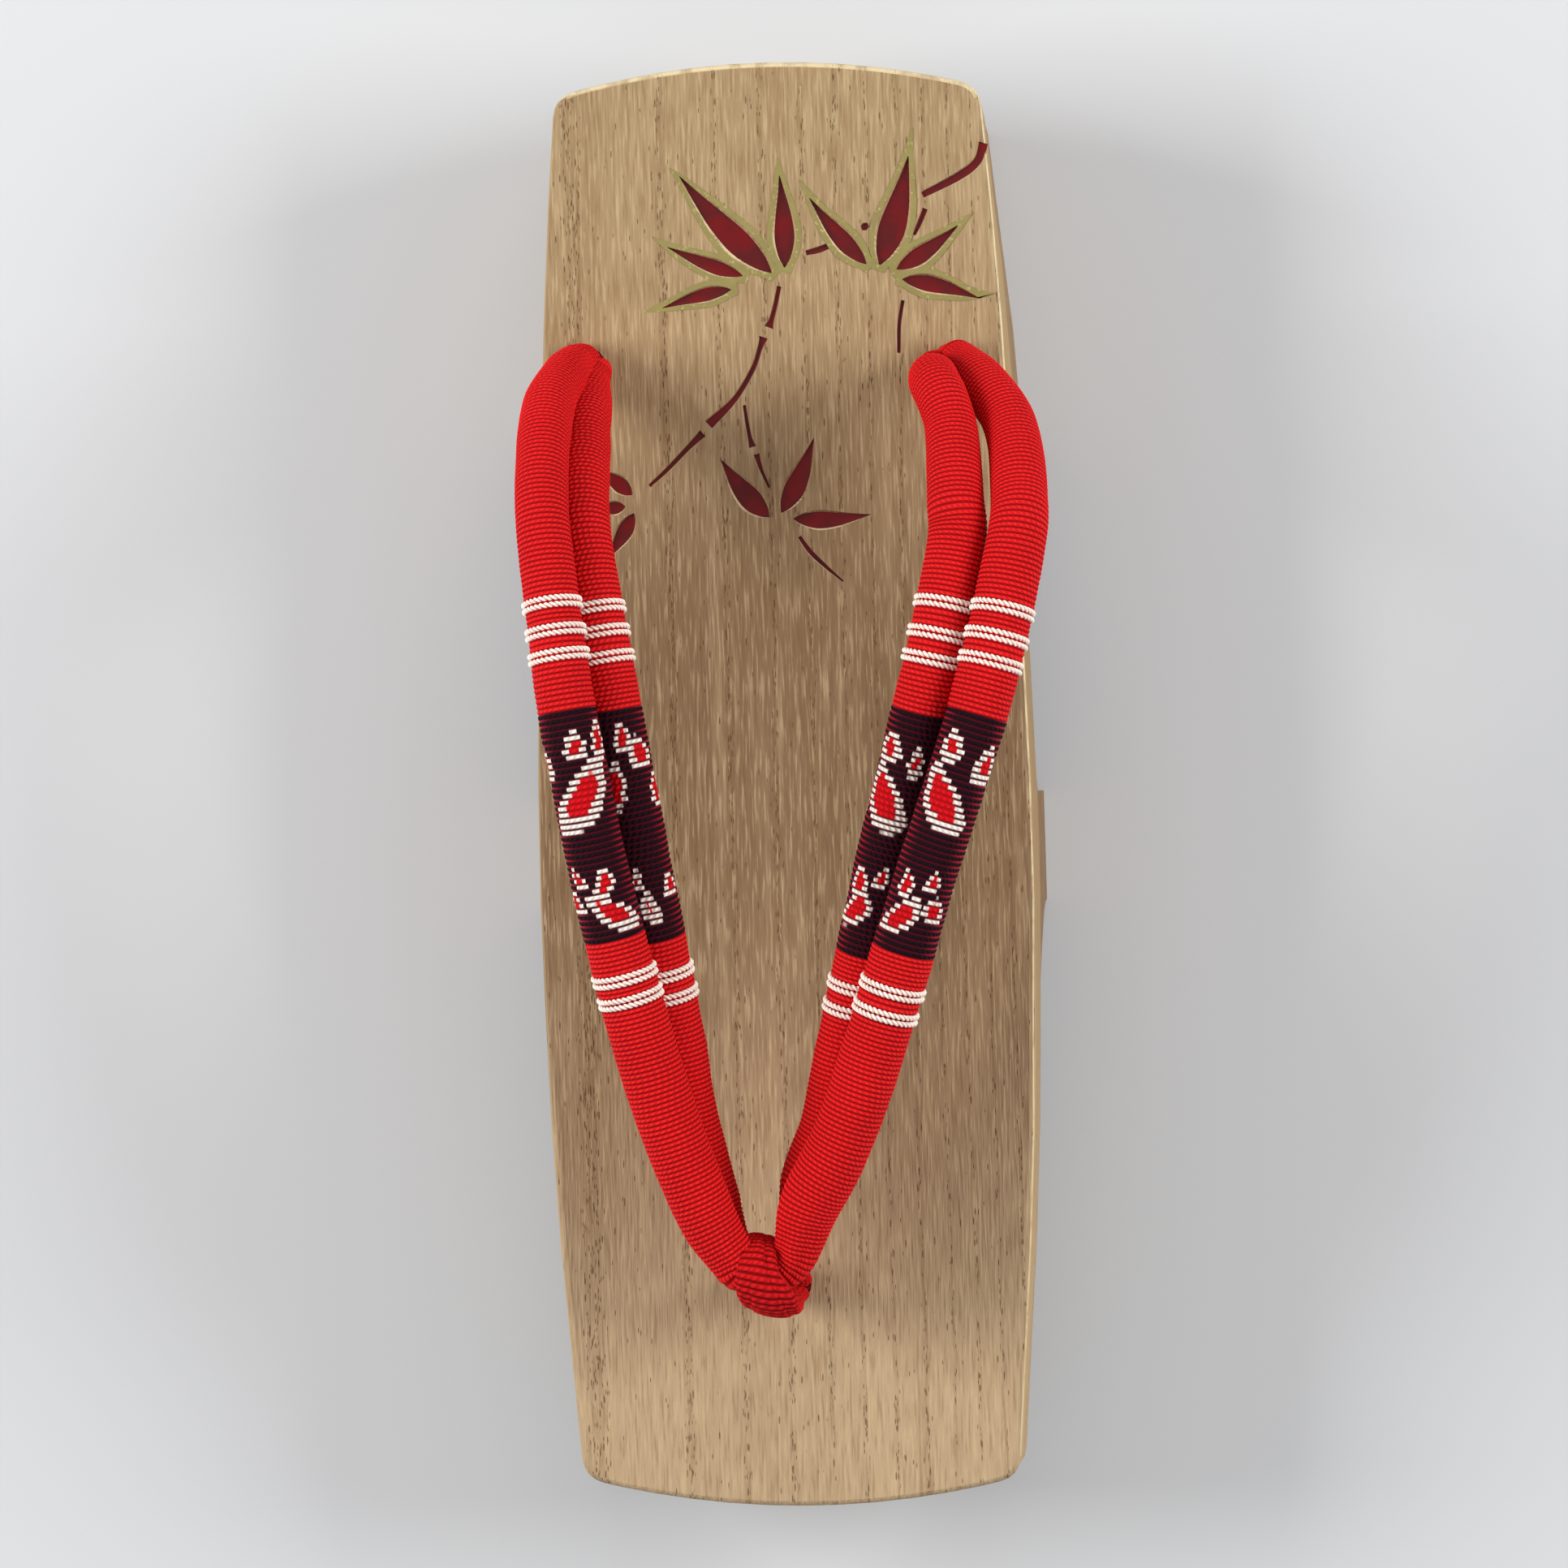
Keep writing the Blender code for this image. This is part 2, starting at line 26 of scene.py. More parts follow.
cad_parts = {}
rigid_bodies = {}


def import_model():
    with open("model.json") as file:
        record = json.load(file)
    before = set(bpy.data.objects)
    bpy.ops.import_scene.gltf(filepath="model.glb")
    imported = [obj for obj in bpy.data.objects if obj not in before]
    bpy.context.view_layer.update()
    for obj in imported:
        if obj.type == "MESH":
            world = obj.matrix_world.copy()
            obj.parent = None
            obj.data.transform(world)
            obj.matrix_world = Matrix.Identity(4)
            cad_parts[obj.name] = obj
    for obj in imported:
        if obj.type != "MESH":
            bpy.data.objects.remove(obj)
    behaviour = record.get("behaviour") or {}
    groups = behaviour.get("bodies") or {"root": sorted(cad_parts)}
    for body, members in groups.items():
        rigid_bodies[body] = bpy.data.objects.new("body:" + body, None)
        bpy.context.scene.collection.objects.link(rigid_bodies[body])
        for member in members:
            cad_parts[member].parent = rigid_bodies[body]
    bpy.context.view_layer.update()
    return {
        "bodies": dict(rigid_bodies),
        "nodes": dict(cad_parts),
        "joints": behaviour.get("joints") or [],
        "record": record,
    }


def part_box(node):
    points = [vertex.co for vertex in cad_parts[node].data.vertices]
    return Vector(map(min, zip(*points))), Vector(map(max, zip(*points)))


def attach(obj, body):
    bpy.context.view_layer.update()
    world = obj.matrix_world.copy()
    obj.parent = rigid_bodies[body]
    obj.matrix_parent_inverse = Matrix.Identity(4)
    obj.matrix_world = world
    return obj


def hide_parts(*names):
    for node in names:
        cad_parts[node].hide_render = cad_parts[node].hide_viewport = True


LOG = logging.getLogger("geta")
MM = 0.001
BODY = "root"
WEAVE_MAP = "weave"
RIB_ATTRIBUTE = "rib"
PLY_ATTRIBUTE = "ply"
RIB_OUTPUTS = ("Around", "Rib", "Loose")
DROP_INPUTS = ("Middle around", "Middle rib", "Half width", "Half length", "Lean", "Core")

Colour = tuple[float, float, float, float]
Point = tuple[float, float]
Section = tuple[Vector, float, float, float, float]
Socket = bpy.types.NodeSocket


def srgb(red: int, green: int, blue: int) -> Colour:
    """A colour given in screen values from 0 to 255, as linear light."""
    return (*((value / 255) ** 2.2 for value in (red, green, blue)), 1.0)


# Sizes that are shared with the frame


@dataclass(frozen=True)
class ShoeSizes:
    """Driving sizes of the shoe, the same as the frame's."""

    board_width: float = 0.0819
    board_thickness: float = 0.021
    deck: float = 0.045
    heel_arc: float = 0.0048
    rear_hole_x: float = 0.0304
    rear_hole_shift: float = -0.0010
    rear_hole_y: float = 0.0674
    rear_hole_stagger: float = 0.0015
    rear_hole_foot_y: float = 0.0501
    rear_hole_radius: float = 0.0042
    toe_hole: tuple[float, float] = (-0.0017, -0.0828)
    strap_rise: float = 0.040
    roll_radius: float = 0.0050
    cord_radius: float = 0.0028
    turn_back: float = 0.0032
    turn_aside: float = -0.0012
    clearance: float = 0.0003

    @property
    def underside(self) -> float:
        """Height of the board's underside."""
        return self.deck - self.board_thickness


SHOE = ShoeSizes()


class Side(Enum):
    """The two sides of the straps, by the sign of X that each lies on."""

    BIG_TOE = -1
    LITTLE_TOE = 1


class Place(Enum):
    """The two rolls of a pair."""

    UPPER = "upper"
    LOWER = "lower"


# Node trees


class Graph:
    """Adds nodes to a shader or geometry tree and links them."""

    def __init__(self, tree: bpy.types.NodeTree) -> None:
        """Work on one tree.

        Args:
            tree: The node tree that nodes are added to.
        """
        self.tree = tree

    def feed(self, socket: bpy.types.NodeSocket, value: Any) -> None:
        """Link a socket to another, or set its own value.

        Args:
            socket: The input socket.
            value: An output socket, or a plain value.
        """
        if isinstance(value, bpy.types.NodeSocket):
            self.tree.links.new(value, socket)
        else:
            socket.default_value = value

    def add(
        self, kind: str, inputs: dict[str | int, Any] | None = None, **settings: Any
    ) -> bpy.types.Node:
        """Add a node.

        Args:
            kind: The node's type name.
            inputs: Values or sockets by input name or number.
            **settings: The node's own properties.

        Returns:
            The new node.
        """
        node = self.tree.nodes.new(kind)
        for name, value in settings.items():
            setattr(node, name, value)
        for name, value in (inputs or {}).items():
            self.feed(node.inputs[name], value)
        return node

    def first(self, kind: str, inputs: dict[str | int, Any] | None = None, **settings: Any) -> Socket:
        """The first output of a new node, added as in add."""
        return self.add(kind, inputs, **settings).outputs[0]

    def math(self, operation: str, *values: Any) -> Socket:
        """Result of a Math node on one to three values."""
        return self.first("ShaderNodeMath", dict(enumerate(values)), operation=operation)

    def scaled(self, vector: Any, factors: Sequence[float]) -> Socket:
        """A vector multiplied axis by axis."""
        return self.first("ShaderNodeVectorMath", {0: vector, 1: factors}, operation="MULTIPLY")

    def times(self, vector: Any, length: Any) -> Socket:
        """A vector multiplied by one number."""
        return self.first("ShaderNodeVectorMath", {0: vector, "Scale": length}, operation="SCALE")

    def parts(self, vector: Any) -> list[Socket]:
        """The three numbers of a vector."""
        return list(self.add("ShaderNodeSeparateXYZ", {0: vector}).outputs)

    def noise(self, vector: Any, scale: float = 1.0, detail: float = 2.0) -> Socket:
        """A noise value from 0 to 1 at a place."""
        return self.first("ShaderNodeTexNoise", {"Vector": vector, "Scale": scale, "Detail": detail})

    def bump(self, height: Any, strength: float, distance: float) -> Socket:
        """The surface's direction, bent by a fine relief."""
        inputs = {"Strength": strength, "Distance": distance, "Height": height}
        return self.first("ShaderNodeBump", inputs)

    def step(
        self, value: Any, low: float, high: float, bottom: float = 0.0, top: float = 1.0
    ) -> Socket:
        """A smooth step of a value.

        Args:
            value: The value that is read.
            low: Where the step starts.
            high: Where it ends, which may be below its start.
            bottom: Result at the start.
            top: Result at the end.

        Returns:
            The step's output socket.
        """
        inputs = {"Value": value, "From Min": low, "From Max": high, "To Min": bottom, "To Max": top}
        return self.first("ShaderNodeMapRange", inputs, interpolation_type="SMOOTHSTEP")

    def mix(self, factor: Any, first: Any, second: Any, blend: str = "MIX") -> Socket:
        """Two colours mixed.

        Args:
            factor: Share of the second colour.
            first: The first colour.
            second: The second colour.
            blend: Blend type of the Mix node.

        Returns:
            The mixed colour's socket.
        """
        inputs = {0: factor, 6: first, 7: second}
        return self.add("ShaderNodeMix", inputs, data_type="RGBA", blend_type=blend).outputs[2]

    def shade(self, colour: Any, value: Any) -> Socket:
        """A colour made darker or lighter by a value about 1."""
        return self.mix(1.0, colour, value, "MULTIPLY")

    def group(self, tree: bpy.types.NodeTree, inputs: dict[str, Any]) -> bpy.types.NodeOutputs:
        """Place a node group.

        Args:
            tree: The group's tree.
            inputs: Values or sockets by input name.

        Returns:
            The outputs of the placed group.
        """
        return self.add("ShaderNodeGroup", inputs, node_tree=tree).outputs

    def drift(self, kit: Kit, place: Any, scale: float, amount: float) -> Socket:
        """A value about 1 that drifts over a surface, from the shared group."""
        return self.group(kit.drift, {"Place": place, "Scale": scale, "Amount": amount})["Tone"]

    def dressed(self, geometry: Any, material: Any) -> Socket:
        """Geometry shaded smooth, made plain and given its material, as each geometry tree ends.

        Args:
            geometry: The geometry's socket.
            material: The material's socket.

        Returns:
            The finished geometry's socket.
        """
        smooth = self.first("GeometryNodeSetShadeSmooth", {0: geometry, "Shade Smooth": True})
        plain = self.first("GeometryNodeRealizeInstances", {0: smooth})
        return self.first("GeometryNodeSetMaterial", {0: plain, "Material": material})


def new_tree(
    name: str, kind: str, inputs: dict[str, str], outputs: dict[str, str]
) -> tuple[Graph, Any, Any]:
    """Make a node group with named inputs and outputs.

    Args:
        name: Name of the group.
        kind: "ShaderNodeTree" or "GeometryNodeTree".
        inputs: Socket kinds by input name, such as "Float".
        outputs: Socket kinds by output name.

    Returns:
        The group's graph, its input node's outputs and its output node's inputs.
    """
    tree = bpy.data.node_groups.new(name, kind)
    for way, sockets in (("INPUT", inputs), ("OUTPUT", outputs)):
        for socket, socket_kind in sockets.items():
            kind_name = "NodeSocket" + socket_kind
            tree.interface.new_socket(name=socket, in_out=way, socket_type=kind_name)
    start = tree.nodes.new("NodeGroupInput")
    end = tree.nodes.new("NodeGroupOutput")
    return Graph(tree), start.outputs, end.inputs


def spun_rib_group() -> bpy.types.NodeTree:
    """Group that reads a sleeve's weave map: where a point lies on its rib, and the yarn's relief."""
    inputs = {"Weave": "Vector", "Round": "Float", "Yarn length": "Float"}
    outputs = dict.fromkeys((*RIB_OUTPUTS, "Crest", "Yarn"), "Float")
    graph, given, result = new_tree("spun_rib", "ShaderNodeTree", inputs, outputs)
    across, along, _ = graph.parts(given["Weave"])
    around = graph.math("MULTIPLY", graph.math("SUBTRACT", across, 0.5), given["Round"])
    rib = graph.math("FLOOR", along)
    share = graph.math("FRACT", along)
    off_middle = graph.math("ABSOLUTE", graph.math("SUBTRACT", share, 0.5))
    crest = graph.step(graph.math("SUBTRACT", 0.5, off_middle), 0.06, 0.30)
    loose = graph.first("ShaderNodeTexWhiteNoise", {"W": rib}, noise_dimensions="1D")
    turns = graph.math("DIVIDE", around, given["Yarn length"])
    slanted = graph.math("ADD", graph.math("ADD", turns, loose), graph.math("MULTIPLY", share, 0.55))
    wave = graph.math("SINE", graph.math("MULTIPLY", slanted, math.tau))
    yarn = graph.math("MULTIPLY", graph.math("MULTIPLY_ADD", wave, 0.5, 0.5), crest)
    for name, value in zip(outputs, (around, rib, loose, crest, yarn)):
        graph.feed(result[name], value)
    return graph.tree


def woven_drop_group() -> bpy.types.NodeTree:
    """Group for one woven drop: masks of its white outline and its red core, stepped rib by rib."""
    inputs = dict.fromkeys((*RIB_OUTPUTS, *DROP_INPUTS), "Float")
    outputs = dict.fromkeys(("Outline", "Core"), "Float")
    graph, given, result = new_tree("woven_drop", "ShaderNodeTree", inputs, outputs)
    ribs = graph.math("SUBTRACT", graph.math("ADD", given["Rib"], 0.5), given["Middle rib"])
    along = graph.math("DIVIDE", ribs, given["Half length"])
    leaning = graph.math("MULTIPLY", ribs, given["Lean"])
    ragged = graph.math("MULTIPLY", graph.math("SUBTRACT", given["Loose"], 0.5), 0.7)
    off = graph.math("SUBTRACT", given["Around"], graph.math("ADD", given["Middle around"], leaning))
    across = graph.math("DIVIDE", graph.math("ADD", off, ragged), given["Half width"])
    across = graph.math("DIVIDE", across, graph.math("MULTIPLY_ADD", along, 0.30, 0.80))
    squares = [graph.math("POWER", value, 2.0) for value in (across, along)]
    spread = graph.math("SQRT", graph.math("ADD", *squares))
    graph.feed(result["Outline"], graph.step(spread, 1.03, 0.97))
    core = graph.math("DIVIDE", spread, given["Core"])
    graph.feed(result["Core"], graph.step(core, 1.04, 0.96))
    return graph.tree


def drift_group() -> bpy.types.NodeTree:
    """Group for an uneven tone: a value about 1 that drifts over a surface."""
    inputs = {"Place": "Vector", "Scale": "Float", "Amount": "Float"}
    graph, given, result = new_tree("uneven_tone", "ShaderNodeTree", inputs, {"Tone": "Float"})
    cloudy = graph.noise(given["Place"], given["Scale"], 3.0)
    centred = graph.math("SUBTRACT", cloudy, 0.5)
    graph.feed(result["Tone"], graph.math("MULTIPLY_ADD", centred, given["Amount"], 1.0))
    return graph.tree


# Finishes


@dataclass(frozen=True)
class Finish:
    """A finish that makes its own material round one plain shader.

    Attributes:
        title: Name of its material.
    """

    title: str

    def material(self, kit: Kit) -> bpy.types.Material:
        """Build the material.

        Args:
            kit: The shared groups and trees.

        Returns:
            The material.
        """
        made = bpy.data.materials.new(self.title)
        made.use_nodes = True
        graph = Graph(made.node_tree)
        shader = made.node_tree.nodes["Principled BSDF"]
        place = graph.add("ShaderNodeTexCoord").outputs["Object"]
        for name, value in self.surface(graph, place, kit).items():
            graph.feed(shader.inputs[name], value)
        return made

    def surface(self, graph: Graph, place: Any, kit: Kit) -> dict[str, Any]:
        """Add the nodes of the finish.

        Args:
            graph: The material's graph.
            place: The place on the object.
            kit: The shared groups and trees.

        Returns:
            Sockets or plain values, by the shader's input names.
        """
        raise NotImplementedError


@dataclass(frozen=True)
class WoodFinish(Finish):
    """Bare paulownia: rings along the board, open pores and dull sides, with a pale edge at the heel end
    that is partly wear and partly painted highlight, and painted highlight on the edges and carving walls
    that face toward the heel and the little toe's side.
    """

    title: str = "paulownia"
    heel: Colour = srgb(158, 133, 98)
    middle: Colour = srgb(127, 100, 73)
    toe: Colour = srgb(176, 150, 118)
    ring: Colour = srgb(118, 86, 52)
    pore: Colour = srgb(98, 64, 36)
    fibre: Colour = srgb(202, 176, 136)
    pale_edge_and_highlight: Colour = srgb(226, 206, 164)
    # Pale colour of the heel end's wear and of the painted highlight on edges and carving walls
    side: Colour = srgb(182, 150, 103)
    low_side: Colour = srgb(138, 104, 70)

    def surface(self, graph: Graph, place: Any, kit: Kit) -> dict[str, Any]:
        """Wood that is palest at the heel and the toe, with its grain, pores and edges.

        Args:
            graph: The material's graph.
            place: The place on the object.
            kit: The shared groups and trees.

        Returns:
            Sockets or plain values, by the shader's input names.
        """
        _, y, _ = graph.parts(place)
        ring = self.rings(graph, place)
        streak = graph.noise(graph.scaled(place, (2400, 150, 2400)), detail=3.0)
        fibre = graph.noise(graph.scaled(place, (950, 36, 950)), detail=3.0)
        figure = graph.noise(graph.scaled(place, (230, 6, 230)), detail=3.0)
        toe_part = graph.step(y, -0.005, -0.105)
        heel_part = graph.step(y, 0.010, 0.095)
        body = graph.mix(toe_part, graph.mix(heel_part, self.middle, self.heel), self.toe)
        colour = graph.mix(graph.math("MULTIPLY", ring, 0.22), body, self.ring)
        for grain, start, end, strength, tint in (
            (figure, 0.50, 0.74, 0.20, self.fibre),
            (figure, 0.46, 0.28, 0.18, self.ring),
            (fibre, 0.52, 0.70, 0.22, self.fibre),
            (streak, 0.50, 0.68, 0.42, self.fibre),
            (streak, 0.48, 0.32, 0.36, self.ring),
        ):
            colour = graph.mix(graph.step(grain, start, end, 0.0, strength), colour, tint)
        colour = graph.shade(colour, graph.drift(kit, place, 26.0, 0.14))
        pores = self.pores(graph, place, ring)
        colour = graph.mix(graph.math("MULTIPLY", pores, 0.72), colour, self.pore)
        relief = graph.math("MULTIPLY_ADD", pores, -1.0, graph.math("MULTIPLY", streak, 0.8))
        return {
            "Base Color": self.edges(graph, place, colour, body, streak),
            "Roughness": graph.step(streak, 0.3, 0.7, 0.76, 0.60),
            "Normal": graph.bump(relief, 0.8, 0.0003),
            "Specular IOR Level": 0.25,
        }

    def rings(self, graph: Graph, place: Any) -> Socket:
        """Mask of the ring lines, which lie closer together toward the little toe's side.

        Args:
            graph: The material's graph.
            place: The place on the object.

        Returns:
            The mask's socket.
        """
        x, _, z = graph.parts(place)
        wander = graph.noise(graph.scaled(place, (55, 9, 55)), detail=1.0)
        centred = graph.math("SUBTRACT", wander, 0.5)
        from_edge = graph.math("MULTIPLY_ADD", centred, 0.0024, graph.math("ADD", x, 0.033))
        tilted = graph.math("MULTIPLY_ADD", graph.math("SUBTRACT", z, SHOE.deck), 0.3, from_edge)
        phase = graph.math("MULTIPLY", tilted, graph.math("MULTIPLY_ADD", tilted, 1580.0, 44.5))
        apart = graph.math("ABSOLUTE", graph.math("SUBTRACT", graph.math("FRACT", phase), 0.5))
        return graph.step(apart, 0.39, 0.49)

    def edges(self, graph: Graph, place: Any, colour: Any, body: Any, streak: Any) -> Socket:
        """Colour with the duller sides, a pale edge at the heel end that is partly wear and partly
        painted highlight, and painted highlight on the deck's edges and the carving walls that face
        toward the heel and the little toe's side.

        Args:
            graph: The material's graph.
            place: The place on the object.
            colour: Colour of the bare wood.
            body: The wood's colour without its grain.
            streak: The fine streaks.

        Returns:
            The colour's socket.
        """
        x, y, z = graph.parts(place)
        across, along, _ = graph.parts(graph.add("ShaderNodeNewGeometry").outputs["True Normal"])
        sideways = graph.step(graph.math("ABSOLUTE", across), 0.55, 0.85)
        below = graph.step(z, SHOE.underside + 0.0015, SHOE.underside - 0.003)
        side = graph.mix(below, self.side, self.low_side)
        side = graph.mix(graph.step(streak, 0.35, 0.70, 0.0, 0.5), side, body)
        colour = graph.mix(graph.math("MULTIPLY", sideways, 0.58), colour, side)
        # Painted highlight: faces near the deck that turn toward the heel and the little toe's side, the
        # carving walls among them, are painted pale as if lit
        toward_heel = graph.math("MULTIPLY_ADD", across, 0.35, graph.math("MULTIPLY", along, 0.8))
        cut = graph.math("MULTIPLY", graph.step(toward_heel, 0.10, 0.40), graph.step(z, 0.0430, 0.0438))
        # The heel end's top edge is painted pale too, partly as wear and partly as painted highlight
        arc = graph.math("MULTIPLY", graph.math("POWER", x, 2.0), SHOE.heel_arc / 0.0362**2)
        near_end = graph.step(graph.math("ADD", y, arc), 0.1190, 0.1194)
        wear_and_highlight = graph.math("MAXIMUM", cut, graph.math("MULTIPLY", near_end, graph.step(z, 0.0400, 0.0445)))
        # Random chips break up the pale wear and painted highlight
        chips = graph.noise(graph.scaled(place, (420, 260, 420)), detail=3.0)
        chipped = graph.step(chips, 0.30, 0.55, 0.45, 1.0)
        return graph.mix(graph.math("MULTIPLY", wear_and_highlight, chipped), colour, self.pale_edge_and_highlight)

    def pores(self, graph: Graph, place: Any, ring: Any) -> Socket:
        """Mask of the open pores, short dashes along the grain that crowd on the ring lines.

        Args:
            graph: The material's graph.
            place: The place on the object.
            ring: Mask of the ring lines.

        Returns:
            The mask's socket.
        """
        mask = None
        for fine, long, size, crowd in ((2300, 400, 0.32, 0.95), (3600, 640, 0.34, 0.60)):
            vector = graph.scaled(place, (fine, long, fine))
            cells = graph.add("ShaderNodeTexVoronoi", {"Vector": vector, "Scale": 1.0, "Randomness": 1.0})
            near = graph.step(cells.outputs["Distance"], size, size * 0.45)
            chance = graph.parts(cells.outputs["Color"])[0]
            kept = graph.math("LESS_THAN", chance, graph.math("MULTIPLY_ADD", ring, crowd, 0.025))
            dashes = graph.math("MULTIPLY", near, kept)
            mask = dashes if mask is None else graph.math("MAXIMUM", mask, dashes)
        return mask


@dataclass(frozen=True)
class LacquerFinish(Finish):
    """Dark red lacquer, pooled in the carving."""

    title: str = "red_lacquer"
    light: Colour = srgb(106, 8, 15)
    dark: Colour = srgb(84, 6, 12)

    def surface(self, graph: Graph, place: Any, kit: Kit) -> dict[str, Any]:
        """Lacquer that is lighter and smoother where it pooled.

        Args:
            graph: The material's graph.
            place: The place on the object.
            kit: The shared groups and trees.

        Returns:
            Sockets or plain values, by the shader's input names.
        """
        pooled = graph.step(graph.noise(place, 260.0, 3.0), 0.35, 0.65)
        tone = graph.drift(kit, place, 900.0, 0.25)
        return {
            "Base Color": graph.shade(graph.mix(pooled, self.dark, self.light), tone),
            "Roughness": graph.step(pooled, 0.0, 1.0, 0.50, 0.42),
            "Normal": graph.bump(graph.noise(place, 700.0, 2.0), 0.25, 0.0001),
            "Specular IOR Level": 0.3,
            "Coat Weight": 0.08,
            "Coat Roughness": 0.2,
        }


@dataclass(frozen=True)
class GoldFinish(Finish):
    """Gold paint laid thinly round the leaves, with painted glints as highlight."""

    title: str = "gold_paint"
    paint: Colour = srgb(146, 134, 80)
    # Colour of the painted glints, a painted highlight
    glint: Colour = srgb(190, 176, 116)

    def surface(self, graph: Graph, place: Any, kit: Kit) -> dict[str, Any]:
        """Paint with painted glints as highlight, in spots of a fine noise.

        Args:
            graph: The material's graph.
            place: The place on the object.
            kit: The shared groups and trees.

        Returns:
            Sockets or plain values, by the shader's input names.
        """
        brush_and_glint = graph.noise(place, 1100.0, 3.0)
        # Painted highlight: glints where the noise is high
        colour = graph.mix(graph.step(brush_and_glint, 0.57, 0.74), self.paint, self.glint)
        return {
            "Base Color": graph.shade(colour, graph.drift(kit, place, 300.0, 0.35)),
            "Roughness": graph.step(brush_and_glint, 0.4, 0.7, 0.58, 0.34),
            "Normal": graph.bump(brush_and_glint, 0.4, 0.00008),
            "Metallic": 0.25,
        }


@dataclass(frozen=True)
class Drop:
    """One drop of the woven flower sprays, on the cloth laid flat.

    Attributes:
        around: Place across the roll from its top, in millimetres toward the other roll.
        rib: Place along the band, in ribs from its heel end.
        half_width: Half its width in millimetres.
        half_length: Half its length in ribs.
        lean: How far it moves across for each rib, in millimetres.
        core: Size of its red core as a share of its own.
    """

    around: float
    rib: float
    half_width: float
    half_length: float
    lean: float
    core: float


@dataclass(frozen=True)
class Band:
    """Where a roll's dark woven band lies, by rib, and the drops woven into it."""

    start: int
    end: int
    drops: tuple[Drop, ...]


@dataclass(frozen=True)
class ClothFinish(Finish):
    """Ribbed red cloth, with painted shade in its grooves and a dark woven band where a roll has one.

    Attributes:
        circumference: The sleeve's length round, in millimetres.
        band: The dark band, or None for plain red cloth.
    """

    title: str = "cloth"
    circumference: float = 0.0
    band: Band | None = None
    crest: Colour = srgb(232, 36, 38)
    # crest is the cloth's red; groove is painted shade in the grooves between the ribs
    groove: Colour = srgb(172, 10, 17)
    band_crest: Colour = srgb(30, 16, 24)
    band_groove: Colour = srgb(84, 14, 30)
    band_edge: Colour = srgb(186, 34, 54)
    white: Colour = srgb(252, 238, 228)
    red: Colour = srgb(214, 20, 30)
    yarn_length: float = 0.95

    def surface(self, graph: Graph, place: Any, kit: Kit) -> dict[str, Any]:
        """Cloth coloured rib by rib, with painted shade in the grooves and between the slanted yarn's
        beads, and a soft fuzz.

        Args:
            graph: The material's graph.
            place: The place on the object.
            kit: The shared groups and trees.

        Returns:
            Sockets or plain values, by the shader's input names.
        """
        weave = graph.first("ShaderNodeUVMap", uv_map=WEAVE_MAP)
        inputs = {"Weave": weave, "Round": self.circumference, "Yarn length": self.yarn_length}
        rib = graph.group(kit.spun_rib, inputs)
        fuzz = graph.noise(place, 5200.0, 2.0)
        # Painted shade: the grooves take the darker groove colour
        colour = graph.mix(rib["Crest"], self.groove, self.crest)
        if self.band:
            colour = self.banded(graph, kit, rib, colour)
        # Painted shade between the yarn's beads and in the grooves, from the yarn relief
        bead_shade = graph.math("MULTIPLY_ADD", rib["Yarn"], 0.44, 0.70)
        tone = graph.math("MULTIPLY", graph.drift(kit, place, 120.0, 0.22), bead_shade)
        tone = graph.math("MULTIPLY", tone, graph.step(fuzz, 0.25, 0.75, 0.90, 1.08))
        return {
            "Base Color": graph.shade(colour, tone),
            "Roughness": graph.step(fuzz, 0.2, 0.8, 0.86, 0.74),
            "Normal": graph.bump(graph.math("MULTIPLY_ADD", fuzz, 0.35, rib["Yarn"]), 0.8, 0.0002),
            "Specular IOR Level": 0.10,
        }

    def banded(self, graph: Graph, kit: Kit, rib: Any, plain: Any) -> Socket:
        """Colour of the cloth with its dark band and the sprays on it.

        Args:
            graph: The material's graph.
            kit: The shared groups and trees.
            rib: Outputs of the spun rib group.
            plain: Colour of the plain cloth.

        Returns:
            The colour's socket.
        """
        sway = graph.math("ABSOLUTE", rib["Around"])
        groove = graph.mix(graph.step(sway, 2.6, 6.2), self.band_groove, self.band_edge)
        dark = graph.mix(rib["Crest"], groove, self.band_crest)
        masks = {"Outline": 0.0, "Core": 0.0}
        for drop in self.band.drops:
            sizes = (drop.half_width, drop.half_length, drop.lean, drop.core)
            inputs = dict(zip(DROP_INPUTS, (drop.around, self.band.start + drop.rib, *sizes)))
            inputs.update((name, rib[name]) for name in RIB_OUTPUTS)
            made = graph.group(kit.woven_drop, inputs)
            masks = {name: graph.math("MAXIMUM", mask, made[name]) for name, mask in masks.items()}
        white = graph.mix(rib["Crest"], self.band_groove, self.white)
        # The red core's grooves take the painted groove shade as well
        red = graph.mix(graph.step(rib["Crest"], 0.0, 1.0, 0.5, 1.0), self.groove, self.red)
        spray = graph.mix(masks["Core"], graph.mix(masks["Outline"], dark, white), red)
        after = graph.math("GREATER_THAN", rib["Rib"], self.band.start - 0.5)
        before = graph.math("LESS_THAN", rib["Rib"], self.band.end - 0.5)
        return graph.mix(graph.math("MULTIPLY", after, before), plain, spray)


STRAP_CLOTH = ClothFinish()
THONG_CLOTH = ClothFinish(crest=srgb(206, 26, 30), groove=srgb(134, 6, 12))


